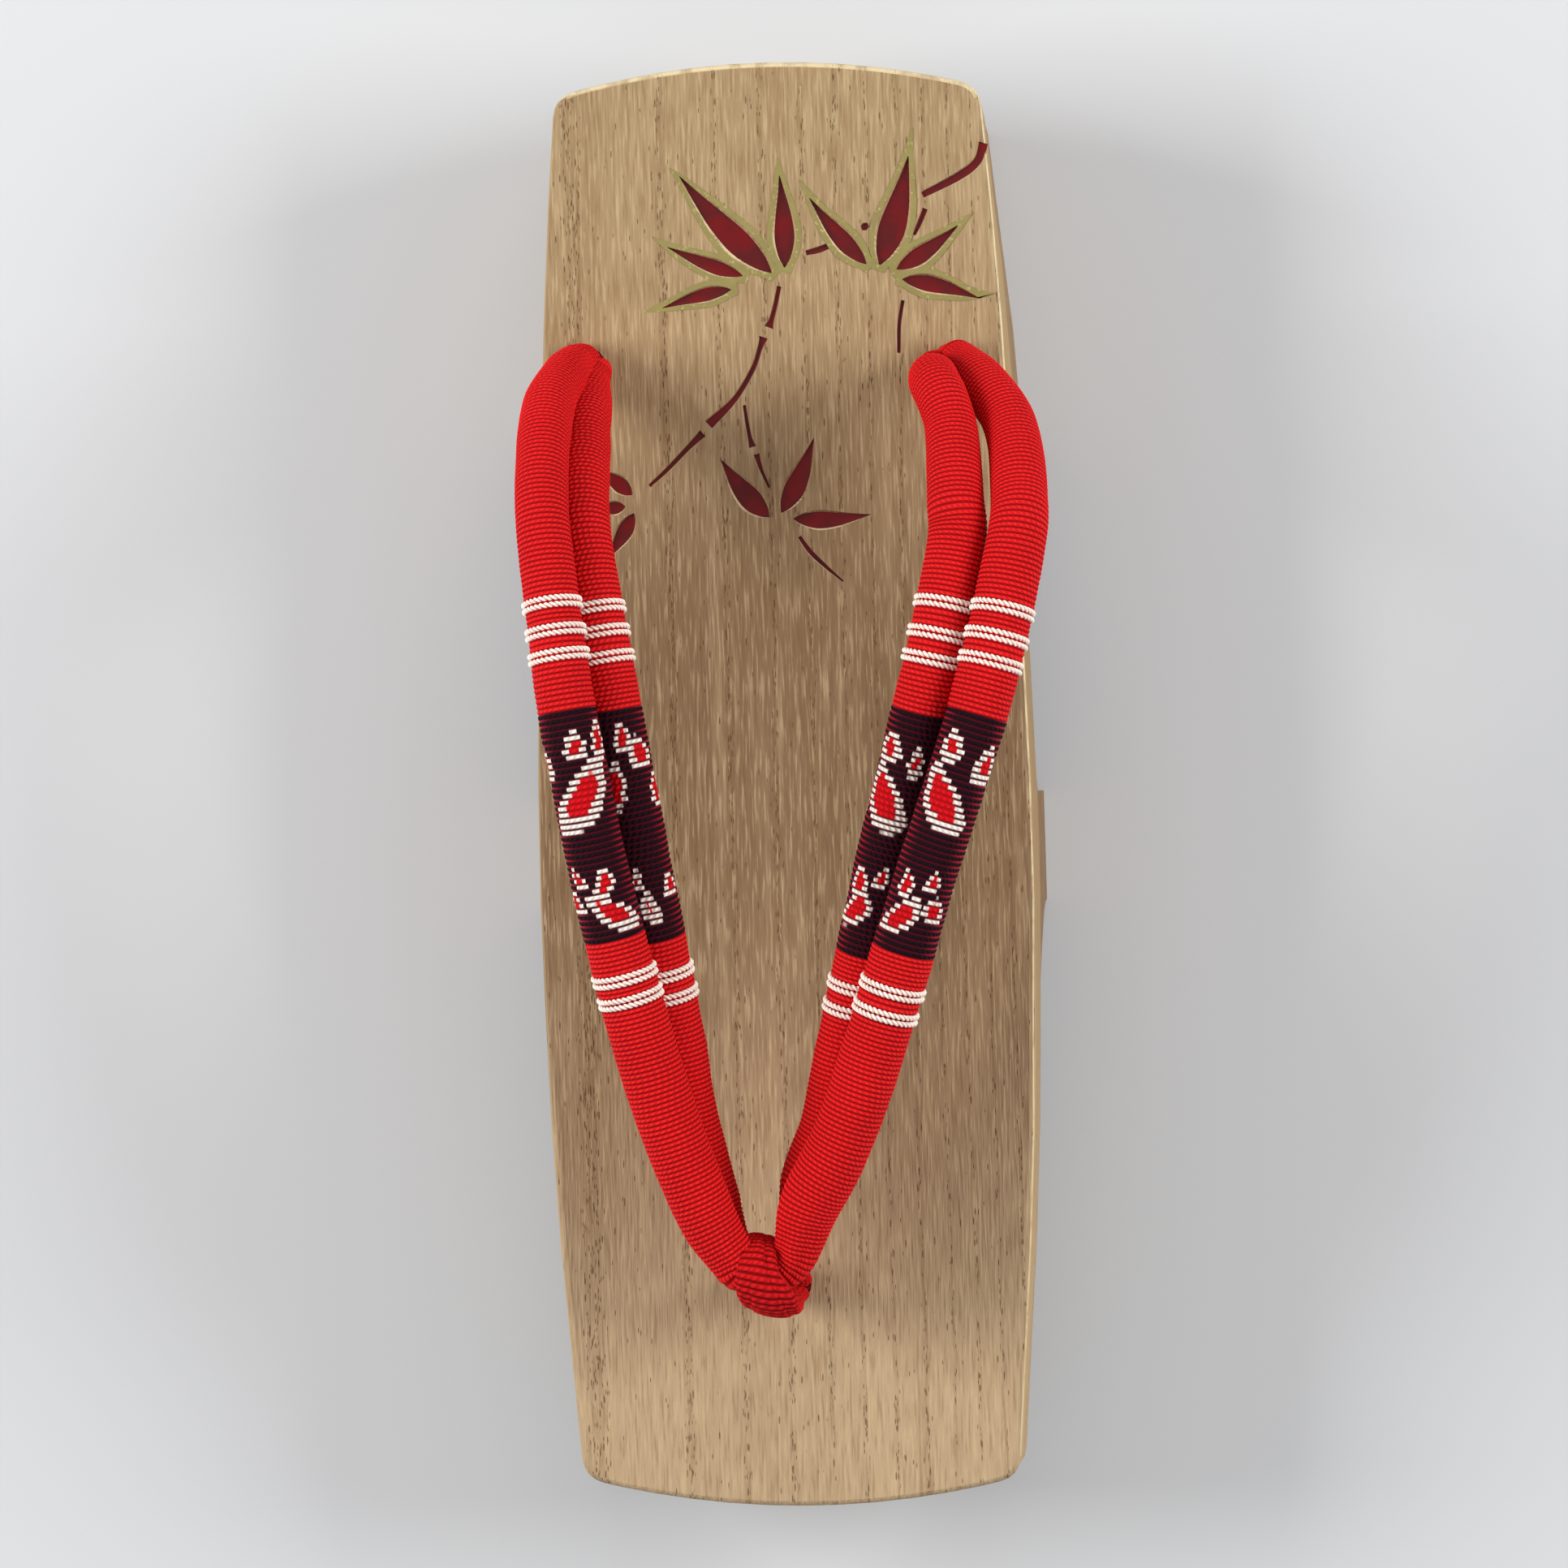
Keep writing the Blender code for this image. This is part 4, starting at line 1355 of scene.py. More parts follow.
@dataclass
class Board:
    """The block of wood with its teeth, and the bamboo carved, lacquered and gilded in its deck.

    Attributes:
        carve_depth: Depth of the carving.
        wall_share: How far its walls slope, as a share of a blade's half width.
        fill_depth: How far the lacquer lies below the deck.
        fill_dish: How much deeper it lies in a blade's middle.
        fill_shares: Places across a blade where the dish is laid out.
        gold_width: Width of the gold outline.
        gold_film: How far the gold stands above the deck.
        gold_sunk: How far it reaches into the wood.
        gold_step: How much higher each leaf's gold stands than the one before, so that none coincide.
        gold_tip_share: Share of a leaf over which its outline is drawn out to the tip.
        edge_softening: Width of the softened edges.
        crease: Angle in degrees from which an edge stays sharp.
        steps: Steps along each blade.
    """

    carve_depth: float = 0.0008
    wall_share: float = 0.16
    fill_depth: float = 0.00040
    fill_dish: float = 0.00012
    fill_shares: tuple[float, ...] = (-1.0, -0.8, -0.45, 0.0, 0.45, 0.8, 1.0)
    gold_width: float = 0.00100
    gold_film: float = 0.00006
    gold_sunk: float = 0.00004
    gold_step: float = 0.00001
    gold_tip_share: float = 0.16
    edge_softening: float = 0.0004
    crease: float = 50.0
    steps: int = 20

    def build(self, frame: dict[str, Any], kit: Kit) -> list[bpy.types.Object]:
        """Build the board, the lacquer and the gold.

        Args:
            frame: The loaded frame.
            kit: The shared groups and trees.

        Returns:
            The pieces.
        """
        wood = self.carved(frame["nodes"]["sole"], WoodFinish().material(kit))
        lacquer = self.filled("carving_lacquer", LacquerFinish().material(kit))
        gold = self.gilded("leaf_gold_lines", GoldFinish().material(kit))
        for piece in (wood, lacquer, gold):
            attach(piece, BODY)
        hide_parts("sole")
        return [wood, lacquer, gold]

    @property
    def blades(self) -> tuple[Blade, ...]:
        """All the carved leaves and stems."""
        return GILDED_LEAVES + PLAIN_LEAVES + STEMS

    def carved(self, node: bpy.types.Object, finish: bpy.types.Material) -> bpy.types.Object:
        """A copy of the frame's board with softened edges and the bamboo cut into it.

        Args:
            node: The frame's board.
            finish: The wood's material.

        Returns:
            The board.
        """
        mesh = node.data.copy()
        build = bmesh.new()
        build.from_mesh(mesh)
        bmesh.ops.remove_doubles(build, verts=build.verts, dist=1e-6)
        level = math.radians(0.6)
        bmesh.ops.dissolve_limit(build, angle_limit=level, verts=build.verts, edges=build.edges)
        build.to_mesh(mesh)
        build.free()
        wood = link("board", mesh, finish)
        cutter = link("carving", self.prisms())
        soften = wood.modifiers.new("softened_edges", "BEVEL")
        soften.width = self.edge_softening
        soften.segments = 2
        soften.limit_method = "ANGLE"
        soften.angle_limit = math.radians(self.crease)
        carve = wood.modifiers.new("carving", "BOOLEAN")
        carve.operation = "DIFFERENCE"
        carve.solver = "EXACT"
        carve.object = cutter
        settle(wood)
        bpy.data.objects.remove(cutter)
        self.shade(wood.data)
        return wood

    def prisms(self) -> bpy.types.Mesh:
        """Closed prisms of all the blades, from below the deck to above it."""
        build = bmesh.new()
        for blade in self.blades:
            sunk = blade.outline(self.steps, 1 - 2 * self.wall_share)
            risen = blade.outline(self.steps, 1 + 2 * self.wall_share)
            low = [build.verts.new((p.x, p.y, SHOE.deck - self.carve_depth)) for p in sunk]
            high = [build.verts.new((p.x, p.y, SHOE.deck + self.carve_depth)) for p in risen]
            span(build, (low, high))
            build.faces.new(low[::-1])
            build.faces.new(high)
        return into_mesh(build, bpy.data.meshes.new("carving"))

    @staticmethod
    def shade(mesh: bpy.types.Mesh) -> None:
        """Shade the board smooth, except its flat faces.

        Args:
            mesh: The board's mesh.
        """
        flat = 0.9995
        mesh.set_sharp_from_angle(angle=math.radians(35))
        for face in mesh.polygons:
            face.use_smooth = max(abs(value) for value in face.normal) < flat

    def filled(self, name: str, finish: bpy.types.Material) -> bpy.types.Object:
        """Lacquer pooled in the carving, dished along each blade.

        Args:
            name: Name of the piece.
            finish: The lacquer's material.

        Returns:
            The piece.
        """
        build = bmesh.new()
        for blade in self.blades:
            rows = []
            for share, centre, across, width in blade.stations(self.steps):
                ends = math.sin(math.pi * min(max(share, 0.02), 0.98))
                row = []
                for side in self.fill_shares:
                    dish = self.fill_dish * (1 - side**2) * ends**0.5
                    spot = centre + across * width * side
                    spot.z = SHOE.deck - self.fill_depth - dish
                    row.append(build.verts.new(spot))
                rows.append(row)
            bottom = SHOE.deck - self.carve_depth
            floor = [[build.verts.new((v.co.x, v.co.y, bottom)) for v in row] for row in rows]
            self.skin(build, rows, floor)
        mesh = into_mesh(build, bpy.data.meshes.new(name))
        mesh.shade_smooth()
        mesh.set_sharp_from_angle(angle=math.radians(self.crease))
        return link(name, mesh, finish)

    @staticmethod
    def skin(build: bmesh.types.BMesh, top: list[list[Any]], bottom: list[list[Any]]) -> None:
        """Close two grids of the same size into one solid.

        Args:
            build: The mesh under construction.
            top: Rows of vertices of the upper grid.
            bottom: Rows of vertices of the lower grid.
        """
        rims = []
        for grid in (top, bottom):
            span(build, grid, ring=False)
            there = grid[0][:-1] + [row[-1] for row in grid[:-1]]
            rims.append(there + grid[-1][:0:-1] + [row[0] for row in grid[:0:-1]])
        span(build, rims)

    def gilded(self, name: str, finish: bpy.types.Material) -> bpy.types.Object:
        """Thin films of gold paint round the gilded leaves, drawn out to a point past each tip.

        Args:
            name: Name of the piece.
            finish: The gold's material.

        Returns:
            The piece.
        """
        build = bmesh.new()
        for order, blade in enumerate(GILDED_LEAVES):
            stations = blade.stations(self.steps)
            tip = Vector((*blade.gold_tip, 0)) * MM
            inner, outer = [], []
            for sign in (1, -1):
                ordered = stations if sign > 0 else stations[::-1]
                for share, centre, across, width in ordered:
                    inner.append(centre + across * sign * width)
                    near_tip = max(0.0, 1 - share / self.gold_tip_share)
                    full = width + self.gold_width * (0.7 + 0.3 * share)
                    spread = full * (1 - near_tip) + FINEST
                    outer.append(centre.lerp(tip, near_tip) + across * sign * spread)
            base, towards = stations[-1][1], stations[-2][1]
            past = (base - towards).normalized() * self.gold_width
            outer[len(stations) - 1] += past
            outer[len(stations)] += past
            self.film(build, inner, outer, self.gold_film + order * self.gold_step)
        return link(name, into_mesh(build, bpy.data.meshes.new(name)), finish)

    def film(
        self, build: bmesh.types.BMesh, inner: list[Vector], outer: list[Vector], thickness: float
    ) -> None:
        """Add a closed thin ring of paint on the deck.

        Args:
            build: The mesh under construction.
            inner: Points of its inner edge.
            outer: Points of its outer edge, as many.
            thickness: How far it stands above the deck.
        """
        rims = []
        top, bottom = SHOE.deck + thickness, SHOE.deck - self.gold_sunk
        for outline, height in ((inner, top), (outer, top), (outer, bottom), (inner, bottom)):
            rims.append([build.verts.new((p.x, p.y, height)) for p in outline])
        span(build, rims + rims[:1])


# Straps

# Each side of the straps from its rear hole to the front. Columns: share of the run to the toe hole,
# place of the upper roll across as a share of half the board's width, height as a share of the strap's
# rise, lean of the pair in degrees, roll radius as a share of its full radius, distance between the rolls
# as a share of their diameter, and turn of the pair in plan in degrees. The first row's radius is a share
# of the cord's.
BIG_TOE_SIDE_ROWS = (
    (-0.004, 0.755, 0.11, 50, 1.18, 0.62, 0),
    (0.010, 0.800, 0.27, 48, 0.77, 0.80, 0),
    (0.047, 0.872, 0.53, 45, 0.86, 0.95, 0),
    (0.120, 0.903, 0.79, 42, 0.86, 0.98, 0),
    (0.209, 0.879, 0.93, 42, 0.88, 0.98, 2),
    (0.366, 0.804, 1.00, 42, 0.95, 0.98, 9),
    (0.558, 0.673, 0.94, 48, 0.98, 0.98, 12),
    (0.733, 0.510, 0.83, 62, 1.02, 0.96, 16),
    (0.836, 0.388, 0.76, 74, 1.00, 0.92, 20),
    (0.918, 0.261, 0.70, 80, 0.96, 0.88, 34),
    (0.968, 0.149, 0.66, 82, 0.82, 0.86, 58),
)
LITTLE_TOE_SIDE_ROWS = (
    (-0.008, 0.738, 0.11, 20, 1.18, 0.66, 0),
    (0.018, 0.838, 0.36, -12, 0.82, 1.02, 0),
    (0.064, 0.955, 0.58, -8, 0.86, 1.16, 0),
    (0.131, 0.988, 0.80, 4, 0.92, 1.12, 0),
    (0.201, 0.967, 0.93, 18, 0.96, 1.04, 4),
    (0.360, 0.827, 1.00, 26, 0.99, 0.99, 18),
    (0.554, 0.597, 0.94, 46, 1.00, 0.98, 18),
    (0.731, 0.402, 0.83, 62, 1.02, 0.96, 18),
    (0.835, 0.269, 0.76, 74, 1.02, 0.92, 22),
    (0.902, 0.144, 0.70, 80, 1.00, 0.88, 32),
    (0.953, 0.090, 0.66, 82, 0.78, 0.86, 58),
)
# The turn at the front: share of the rise, lean, roll radius share, distance share and turn
TURN_ROW = (0.64, 84, 0.64, 0.84, 90)
REAR_FADE = 0.15
REAR_REACH = 0.0016


@dataclass(frozen=True)
class RollLook:
    """Where one roll's cords and band lie, by Y in millimetres, and its woven drops.

    Attributes:
        heel_cords: Y of each pair of white cords on the heel's side of the band.
        band: Y of the dark band's heel end and toe end.
        toe_cords: Y of each pair on the toe's side.
        drops: The drops woven into the band.
    """

    heel_cords: tuple[float, ...]
    band: tuple[float, float]
    toe_cords: tuple[float, ...]
    drops: tuple[Drop, ...]


# Each roll's woven drops: a large spray toward the heel, then a small one toward the toe
BIG_TOE_UPPER_DROPS = (
    Drop(0.3, 5.8, 2.1, 2.6, 0.0, 0.48),
    Drop(4.5, 5.4, 1.9, 3.6, 0.0, 0.55),
    Drop(-6.0, 8.5, 2.6, 3.0, 0.0, 0.35),
    Drop(0.2, 13.9, 4.6, 6.2, -0.55, 0.56),
    Drop(-3.5, 27.3, 1.4, 2.0, 0.2, 0.5),
    Drop(0.5, 28.4, 1.9, 2.7, -0.2, 0.52),
    Drop(-5.0, 31.2, 2.1, 2.2, 0.1, 0.5),
    Drop(0.8, 33.4, 3.5, 3.6, 0.75, 0.55),
)
BIG_TOE_LOWER_DROPS = (
    Drop(0.6, 4.6, 1.6, 2.7, 0.0, 0.5),
    Drop(3.2, 7.4, 2.6, 2.9, 0.2, 0.55),
    Drop(-2.3, 13.0, 3.0, 4.8, -0.3, 0.7),
    Drop(5.8, 13.9, 2.2, 3.2, 0.0, 0.6),
    Drop(-0.9, 28.2, 1.0, 2.2, 0.0, 0.3),
    Drop(4.3, 30.2, 1.9, 2.2, 0.0, 0.5),
    Drop(0.5, 33.0, 1.7, 2.9, 0.2, 0.2),
)
LITTLE_TOE_UPPER_DROPS = (
    Drop(2.2, 6.0, 2.4, 2.8, 0.0, 0.45),
    Drop(-4.3, 7.8, 2.9, 3.5, 0.0, 0.45),
    Drop(1.2, 14.6, 4.3, 5.6, -0.5, 0.62),
    Drop(2.5, 29.6, 1.6, 2.3, -0.2, 0.55),
    Drop(-1.4, 28.3, 1.5, 1.9, 0.3, 0.5),
    Drop(-3.2, 32.7, 2.4, 2.2, 0.0, 0.55),
    Drop(1.9, 34.8, 3.2, 3.6, 0.6, 0.6),
)
LITTLE_TOE_LOWER_DROPS = (
    Drop(3.8, 6.5, 3.0, 2.7, 0.0, 0.45),
    Drop(-1.2, 8.0, 1.5, 2.9, 0.0, 0.4),
    Drop(2.8, 14.8, 4.2, 5.8, -0.4, 0.62),
    Drop(8.0, 15.0, 2.0, 4.0, 0.0, 0.85),
    Drop(3.6, 29.6, 2.0, 2.8, -0.2, 0.55),
    Drop(0.2, 28.2, 1.4, 2.0, 0.2, 0.5),
    Drop(3.4, 34.1, 3.3, 3.4, 0.4, 0.6),
)

LOOKS = {
    (Side.BIG_TOE, Place.UPPER): RollLook(
        (29.6, 25.2, 21.3), (12.7, -24.0), (-30.4, -33.9), BIG_TOE_UPPER_DROPS
    ),
    (Side.BIG_TOE, Place.LOWER): RollLook(
        (28.8, 24.9, 20.8), (12.7, -24.3), (-30.1, -33.8), BIG_TOE_LOWER_DROPS
    ),
    (Side.LITTLE_TOE, Place.UPPER): RollLook(
        (26.9, 22.5, 18.6), (10.5, -27.4), (-33.5, -37.3), LITTLE_TOE_UPPER_DROPS
    ),
    (Side.LITTLE_TOE, Place.LOWER): RollLook(
        (28.0, 23.2, 19.3), (11.2, -27.8), (-33.2, -37.0), LITTLE_TOE_LOWER_DROPS
    ),
}


@dataclass
class PairPath:
    """Densely read sections of one side's pair of rolls, from the foot of its rear hole to the front.

    Attributes:
        side: The side of the straps.
        steps: Sections from one row of the side's table to the next.
        foot: How far the cord reaches out below its hole.
        bend_share: Radius of the cord's bend at the hole's mouth, as a share of its own radius.
        bend_steps: Sections in the hole, and again in the bend.
        cord_lean: Lean of the pair in the hole, in degrees.
        cord_apart: Distance share of the pair at the foot and after the bend.
    """

    side: Side
    steps: int = 16
    foot: float = 0.0012
    bend_share: float = 1.3
    bend_steps: int = 6
    cord_lean: float = 45.0
    cord_apart: tuple[float, float] = (0.22, 0.50)

    def sections(self) -> list[Section]:
        """Sections as the upper roll's centre, turn, lean, radius and distance share."""
        sign = self.side.value
        level = math.pi if sign > 0 else 0.0
        rows = BIG_TOE_SIDE_ROWS if sign < 0 else LITTLE_TOE_SIDE_ROWS
        table = [(index, *row[:4], row[4] * SHOE.roll_radius, *row[5:]) for index, row in enumerate(rows)]
        table[0] = (0, *rows[0][:4], rows[0][4] * SHOE.cord_radius, *rows[0][5:])
        mouth = self.mouth
        run = mouth.y - SHOE.toe_hole[1]
        half = SHOE.board_width / 2
        to_hole = sign * mouth.x + SHOE.cord_radius / 2 - rows[0][1] * half
        to_thong = SHOE.toe_hole[0] + SHOE.turn_aside
        found = self.cord(level)
        for step in range((len(rows) - 1) * self.steps + 1):
            share, across, rise, lean, radius, apart, turn = read_rows(table, step / self.steps)
            fade = max(0.0, 1 - (share - rows[0][0]) / REAR_FADE)
            x = to_thong * share**2 + sign * (across * half + to_hole * fade**2)
            y = mouth.y - run * share + REAR_REACH * fade**2
            point = Vector((x, y, SHOE.deck + SHOE.strap_rise * rise))
            found.append((point, level - sign * math.radians(turn), math.radians(lean), radius, apart))
        return found + self.turn(found[-2], found[-1])

    @property
    def mouth(self) -> Vector:
        """Centre of the rear hole at the deck."""
        sign = self.side.value
        x = sign * SHOE.rear_hole_x + SHOE.rear_hole_shift
        return Vector((x, SHOE.rear_hole_y - sign * SHOE.rear_hole_stagger / 2, SHOE.deck))

    def cord(self, level: float) -> list[Section]:
        """Sections of the narrow cord, up the slanted hole and over the bend at its mouth.

        Args:
            level: Turn of the pair in plan, in radians.

        Returns:
            The sections.
        """
        foot = Vector((self.mouth.x, SHOE.rear_hole_foot_y, SHOE.underside))
        down = (foot - self.mouth).normalized()
        lean = math.atan2(-down.y, -down.z)
        slack = SHOE.rear_hole_radius - SHOE.cord_radius - SHOE.clearance
        toward_heel = Vector((0, slack / -down.z, 0))
        start = foot + toward_heel - down * self.foot
        bend_start = self.mouth + toward_heel + down * (SHOE.cord_radius / 2)
        bend = SHOE.cord_radius * self.bend_share
        shares = [step / self.bend_steps for step in range(self.bend_steps + 1)]
        centres = [start.lerp(bend_start, share) for share in shares]
        pivot = bend_start + Vector((0, down.z, -down.y)) * bend
        for share in shares[1:]:
            angle = lean * (1 - share)
            reach = Vector((0, REAR_REACH * share, 0))
            centres.append(pivot + reach + Vector((0, math.cos(angle), -math.sin(angle))) * bend)
        first, last = self.cord_apart
        step = (last - first) / (len(centres) - 1)
        return [
            (centre, level, math.radians(self.cord_lean), SHOE.cord_radius, first + step * index)
            for index, centre in enumerate(centres)
        ]

    def turn(self, before: Section, start: Section) -> list[Section]:
        """Sections of the turn at the front, from the last row to the middle under the thong.

        Args:
            before: The last section but one before the turn.
            start: The last section before it.

        Returns:
            The sections.
        """
        rise, lean, radius, apart, turn = TURN_ROW
        x, y = SHOE.toe_hole
        middle = Vector((x + SHOE.turn_aside, y + SHOE.turn_back, SHOE.deck + SHOE.strap_rise * rise))
        end = (middle, math.radians(turn), math.radians(lean), SHOE.roll_radius * radius, apart)
        gap = (middle - start[0]).length
        leaving = (start[0] - before[0]).normalized() * gap
        arriving = Vector((-self.side.value, 0, 0)) * gap
        found = []
        for step in range(1, self.steps + 1):
            t = step / self.steps
            point = start[0] * (2 * t**3 - 3 * t**2 + 1) + leaving * (t**3 - 2 * t**2 + t)
            point += middle * (3 * t**2 - 2 * t**3) + arriving * (t**3 - t**2)
            found.append((point, *(a + (b - a) * t for a, b in zip(start[1:], end[1:]))))
        return found


@dataclass
class PaddedRoll:
    """One padded roll of the straps, with its woven band and white cords.

    Attributes:
        side: The side of the straps.
        place: Which roll of the pair it is.
        weave: Its cloth.
        band_pitch: Length of each rib in the dark band.
        cord_pitch: Length of each rib that carries a white cord.
        cord_proud: How far a white cord's middle stands out, as a share of a rib's height.
        flatness: Height of its section as a share of its width.
        thinning_length: Length over which the lower roll thins toward the front.
        thinned_share: Share of its radius that is left there.
        stripe_ribs: Ribs that carry white cords, found as the weave is laid.
        band: The dark band, found as the weave is laid.
    """

    side: Side
    place: Place
    weave: Weave = STRAP_WEAVE
    band_pitch: float = 0.00098
    cord_pitch: float = 0.00110
    cord_proud: float = 0.8
    flatness: float = 0.98
    thinning_length: float = 0.016
    thinned_share: float = 0.62
    stripe_ribs: list[int] = field(default_factory=list)
    band: Band | None = None

    @property
    def name(self) -> str:
        """Name of the roll's piece."""
        return f"{self.place.value}_roll_{self.side.name.lower()}_side"

    def dense(self) -> dict[str, np.ndarray]:
        """The roll's own path: centres, directions, radius and length along it at each section."""
        sections = PairPath(self.side).sections()
        upper = np.array([section[0] for section in sections])
        turn, lean, radius, apart = np.array([section[1:] for section in sections]).T
        tangent = unit(np.gradient(upper, axis=0))
        inward = np.stack([np.cos(turn), np.sin(turn), np.zeros(len(turn))], axis=1)
        inward = unit(inward - tangent * (inward * tangent).sum(1, keepdims=True))
        top = self.side.value * np.cross(inward, tangent)
        toward = inward * np.cos(lean)[:, None] - top * np.sin(lean)[:, None]
        centres = upper if self.place is Place.UPPER else upper + toward * (2 * apart * radius)[:, None]
        own = unit(np.gradient(centres, axis=0))
        inward = unit(inward - own * (inward * own).sum(1, keepdims=True))
        top = self.side.value * np.cross(inward, own)
        length = lengths_along(centres)
        if self.place is Place.LOWER:
            to_front = np.clip((length[-1] - length) / self.thinning_length, 0.0, 1.0)
            radius = radius * (self.thinned_share + (1 - self.thinned_share) * to_front)
        return {"centres": centres, "tops": top, "sides": inward, "radius": radius, "length": length}

    def stretches(self, dense: dict[str, np.ndarray]) -> list[tuple[float, float, float, str]]:
        """The roll's stretches of weave, from its rear end to the front.

        Args:
            dense: The roll's path.

        Returns:
            For each stretch its start and end along the roll, its rib pitch and what it is.
        """
        look = LOOKS[self.side, self.place]
        y = dense["centres"][:, 1]
        crown = int(np.argmax(y))
        falling, lengths = y[crown:][::-1], dense["length"][crown:][::-1]

        def at(millimetres: float) -> float:
            """Length along the roll where it passes a Y."""
            return float(np.interp(millimetres * MM, falling, lengths))

        pitch = self.cord_pitch
        cords = [at(middle) for middle in look.heel_cords + look.toe_cords]
        marks = [(middle - pitch, middle + pitch, pitch, "cords") for middle in cords]
        marks.append((at(look.band[0]), at(look.band[1]), self.band_pitch, "band"))
        found, reached = [], 0.0
        for mark in sorted(marks):
            found.append((reached, mark[0], self.weave.pitch, "plain"))
            found.append(mark)
            reached = mark[1]
        found.append((reached, float(dense["length"][-1]), self.weave.pitch, "plain"))
        return found

    def sleeve(self) -> Sleeve:
        """Lay the weave along the roll, noting the ribs of its white cords and its band."""
        dense = self.dense()
        lengths, ribs = [0.0], [0.0]
        for start, end, pitch, kind in self.stretches(dense):
            count = max(1, round((end - start) / pitch))
            first = round(ribs[-1])
            if kind == "cords":
                self.stripe_ribs += [first, first + 1]
            if kind == "band":
                look = LOOKS[self.side, self.place]
                self.band = Band(first, first + count, look.drops)
            rings = self.weave.rings_per_rib
            for share in (step / rings for step in range(1, count * rings + 1)):
                lengths.append(start + (end - start) * share / count)
                ribs.append(first + share)

        def read(name: str) -> np.ndarray:
            """Read a part of the path at each ring.

            Args:
                name: Which part.

            Returns:
                Its values, one row each.
            """
            table = dense[name]
            if table.ndim == 1:
                return np.interp(lengths, dense["length"], table)
            columns = [np.interp(lengths, dense["length"], column) for column in table.T]
            return np.stack(columns, axis=1)

        radius = read("radius") - self.weave.rib_height * self.weave.sunk
        tops, sides = unit(read("tops")), unit(read("sides"))
        return Sleeve(read("centres"), tops, sides, radius * self.flatness, radius, np.array(ribs))

    def dents(self, last: float) -> list[Dent]:
        """Creases where the roll is pinched: at its rear hole and under the thong.

        Args:
            last: The roll's last rib.

        Returns:
            The creases.
        """
        rear = [
            Dent(70, 16, 16, 9, 0.0006, 1.2),
            Dent(-55, 14, 14, 8, 0.0005, -1.0),
            Dent(10, 12, 12, 6, 0.0004, 0.8),
        ]
        front = [
            Dent(35, 13, last - 5, 8, 0.0005, 2.0),
            Dent(-35, 14, last - 6, 10, 0.0005, -1.4),
            Dent(100, 18, last - 9, 9, 0.0006, 0.6),
        ]
        return rear + front

    def build(self, kit: Kit, white: bpy.types.Material) -> list[bpy.types.Object]:
        """Build the roll and its white cords.

        Args:
            kit: The shared groups and trees.
            white: Material of the white cords.

        Returns:
            The pieces.
        """
        sleeve = self.sleeve()
        seed = float(list(LOOKS).index((self.side, self.place)))
        dents = self.dents(float(sleeve.ribs[-1]))
        roll = self.weave.cover(self.name, sleeve, dents, seed, kit, self.band)
        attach(roll, BODY)
        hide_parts("upper_straps")
        proud = self.weave.rib_height * self.cord_proud
        rings = []
        for rib in self.stripe_ribs:
            index = int(np.argmin(np.abs(sleeve.ribs - (rib + 0.5))))
            rings.append([Vector(point) for point in sleeve.ring(index, proud)])
        cords = WHITE_ROPE.lay(self.name + "_white_cords", rings, True, kit, white)
        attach(cords, BODY)
        return [roll, cords]


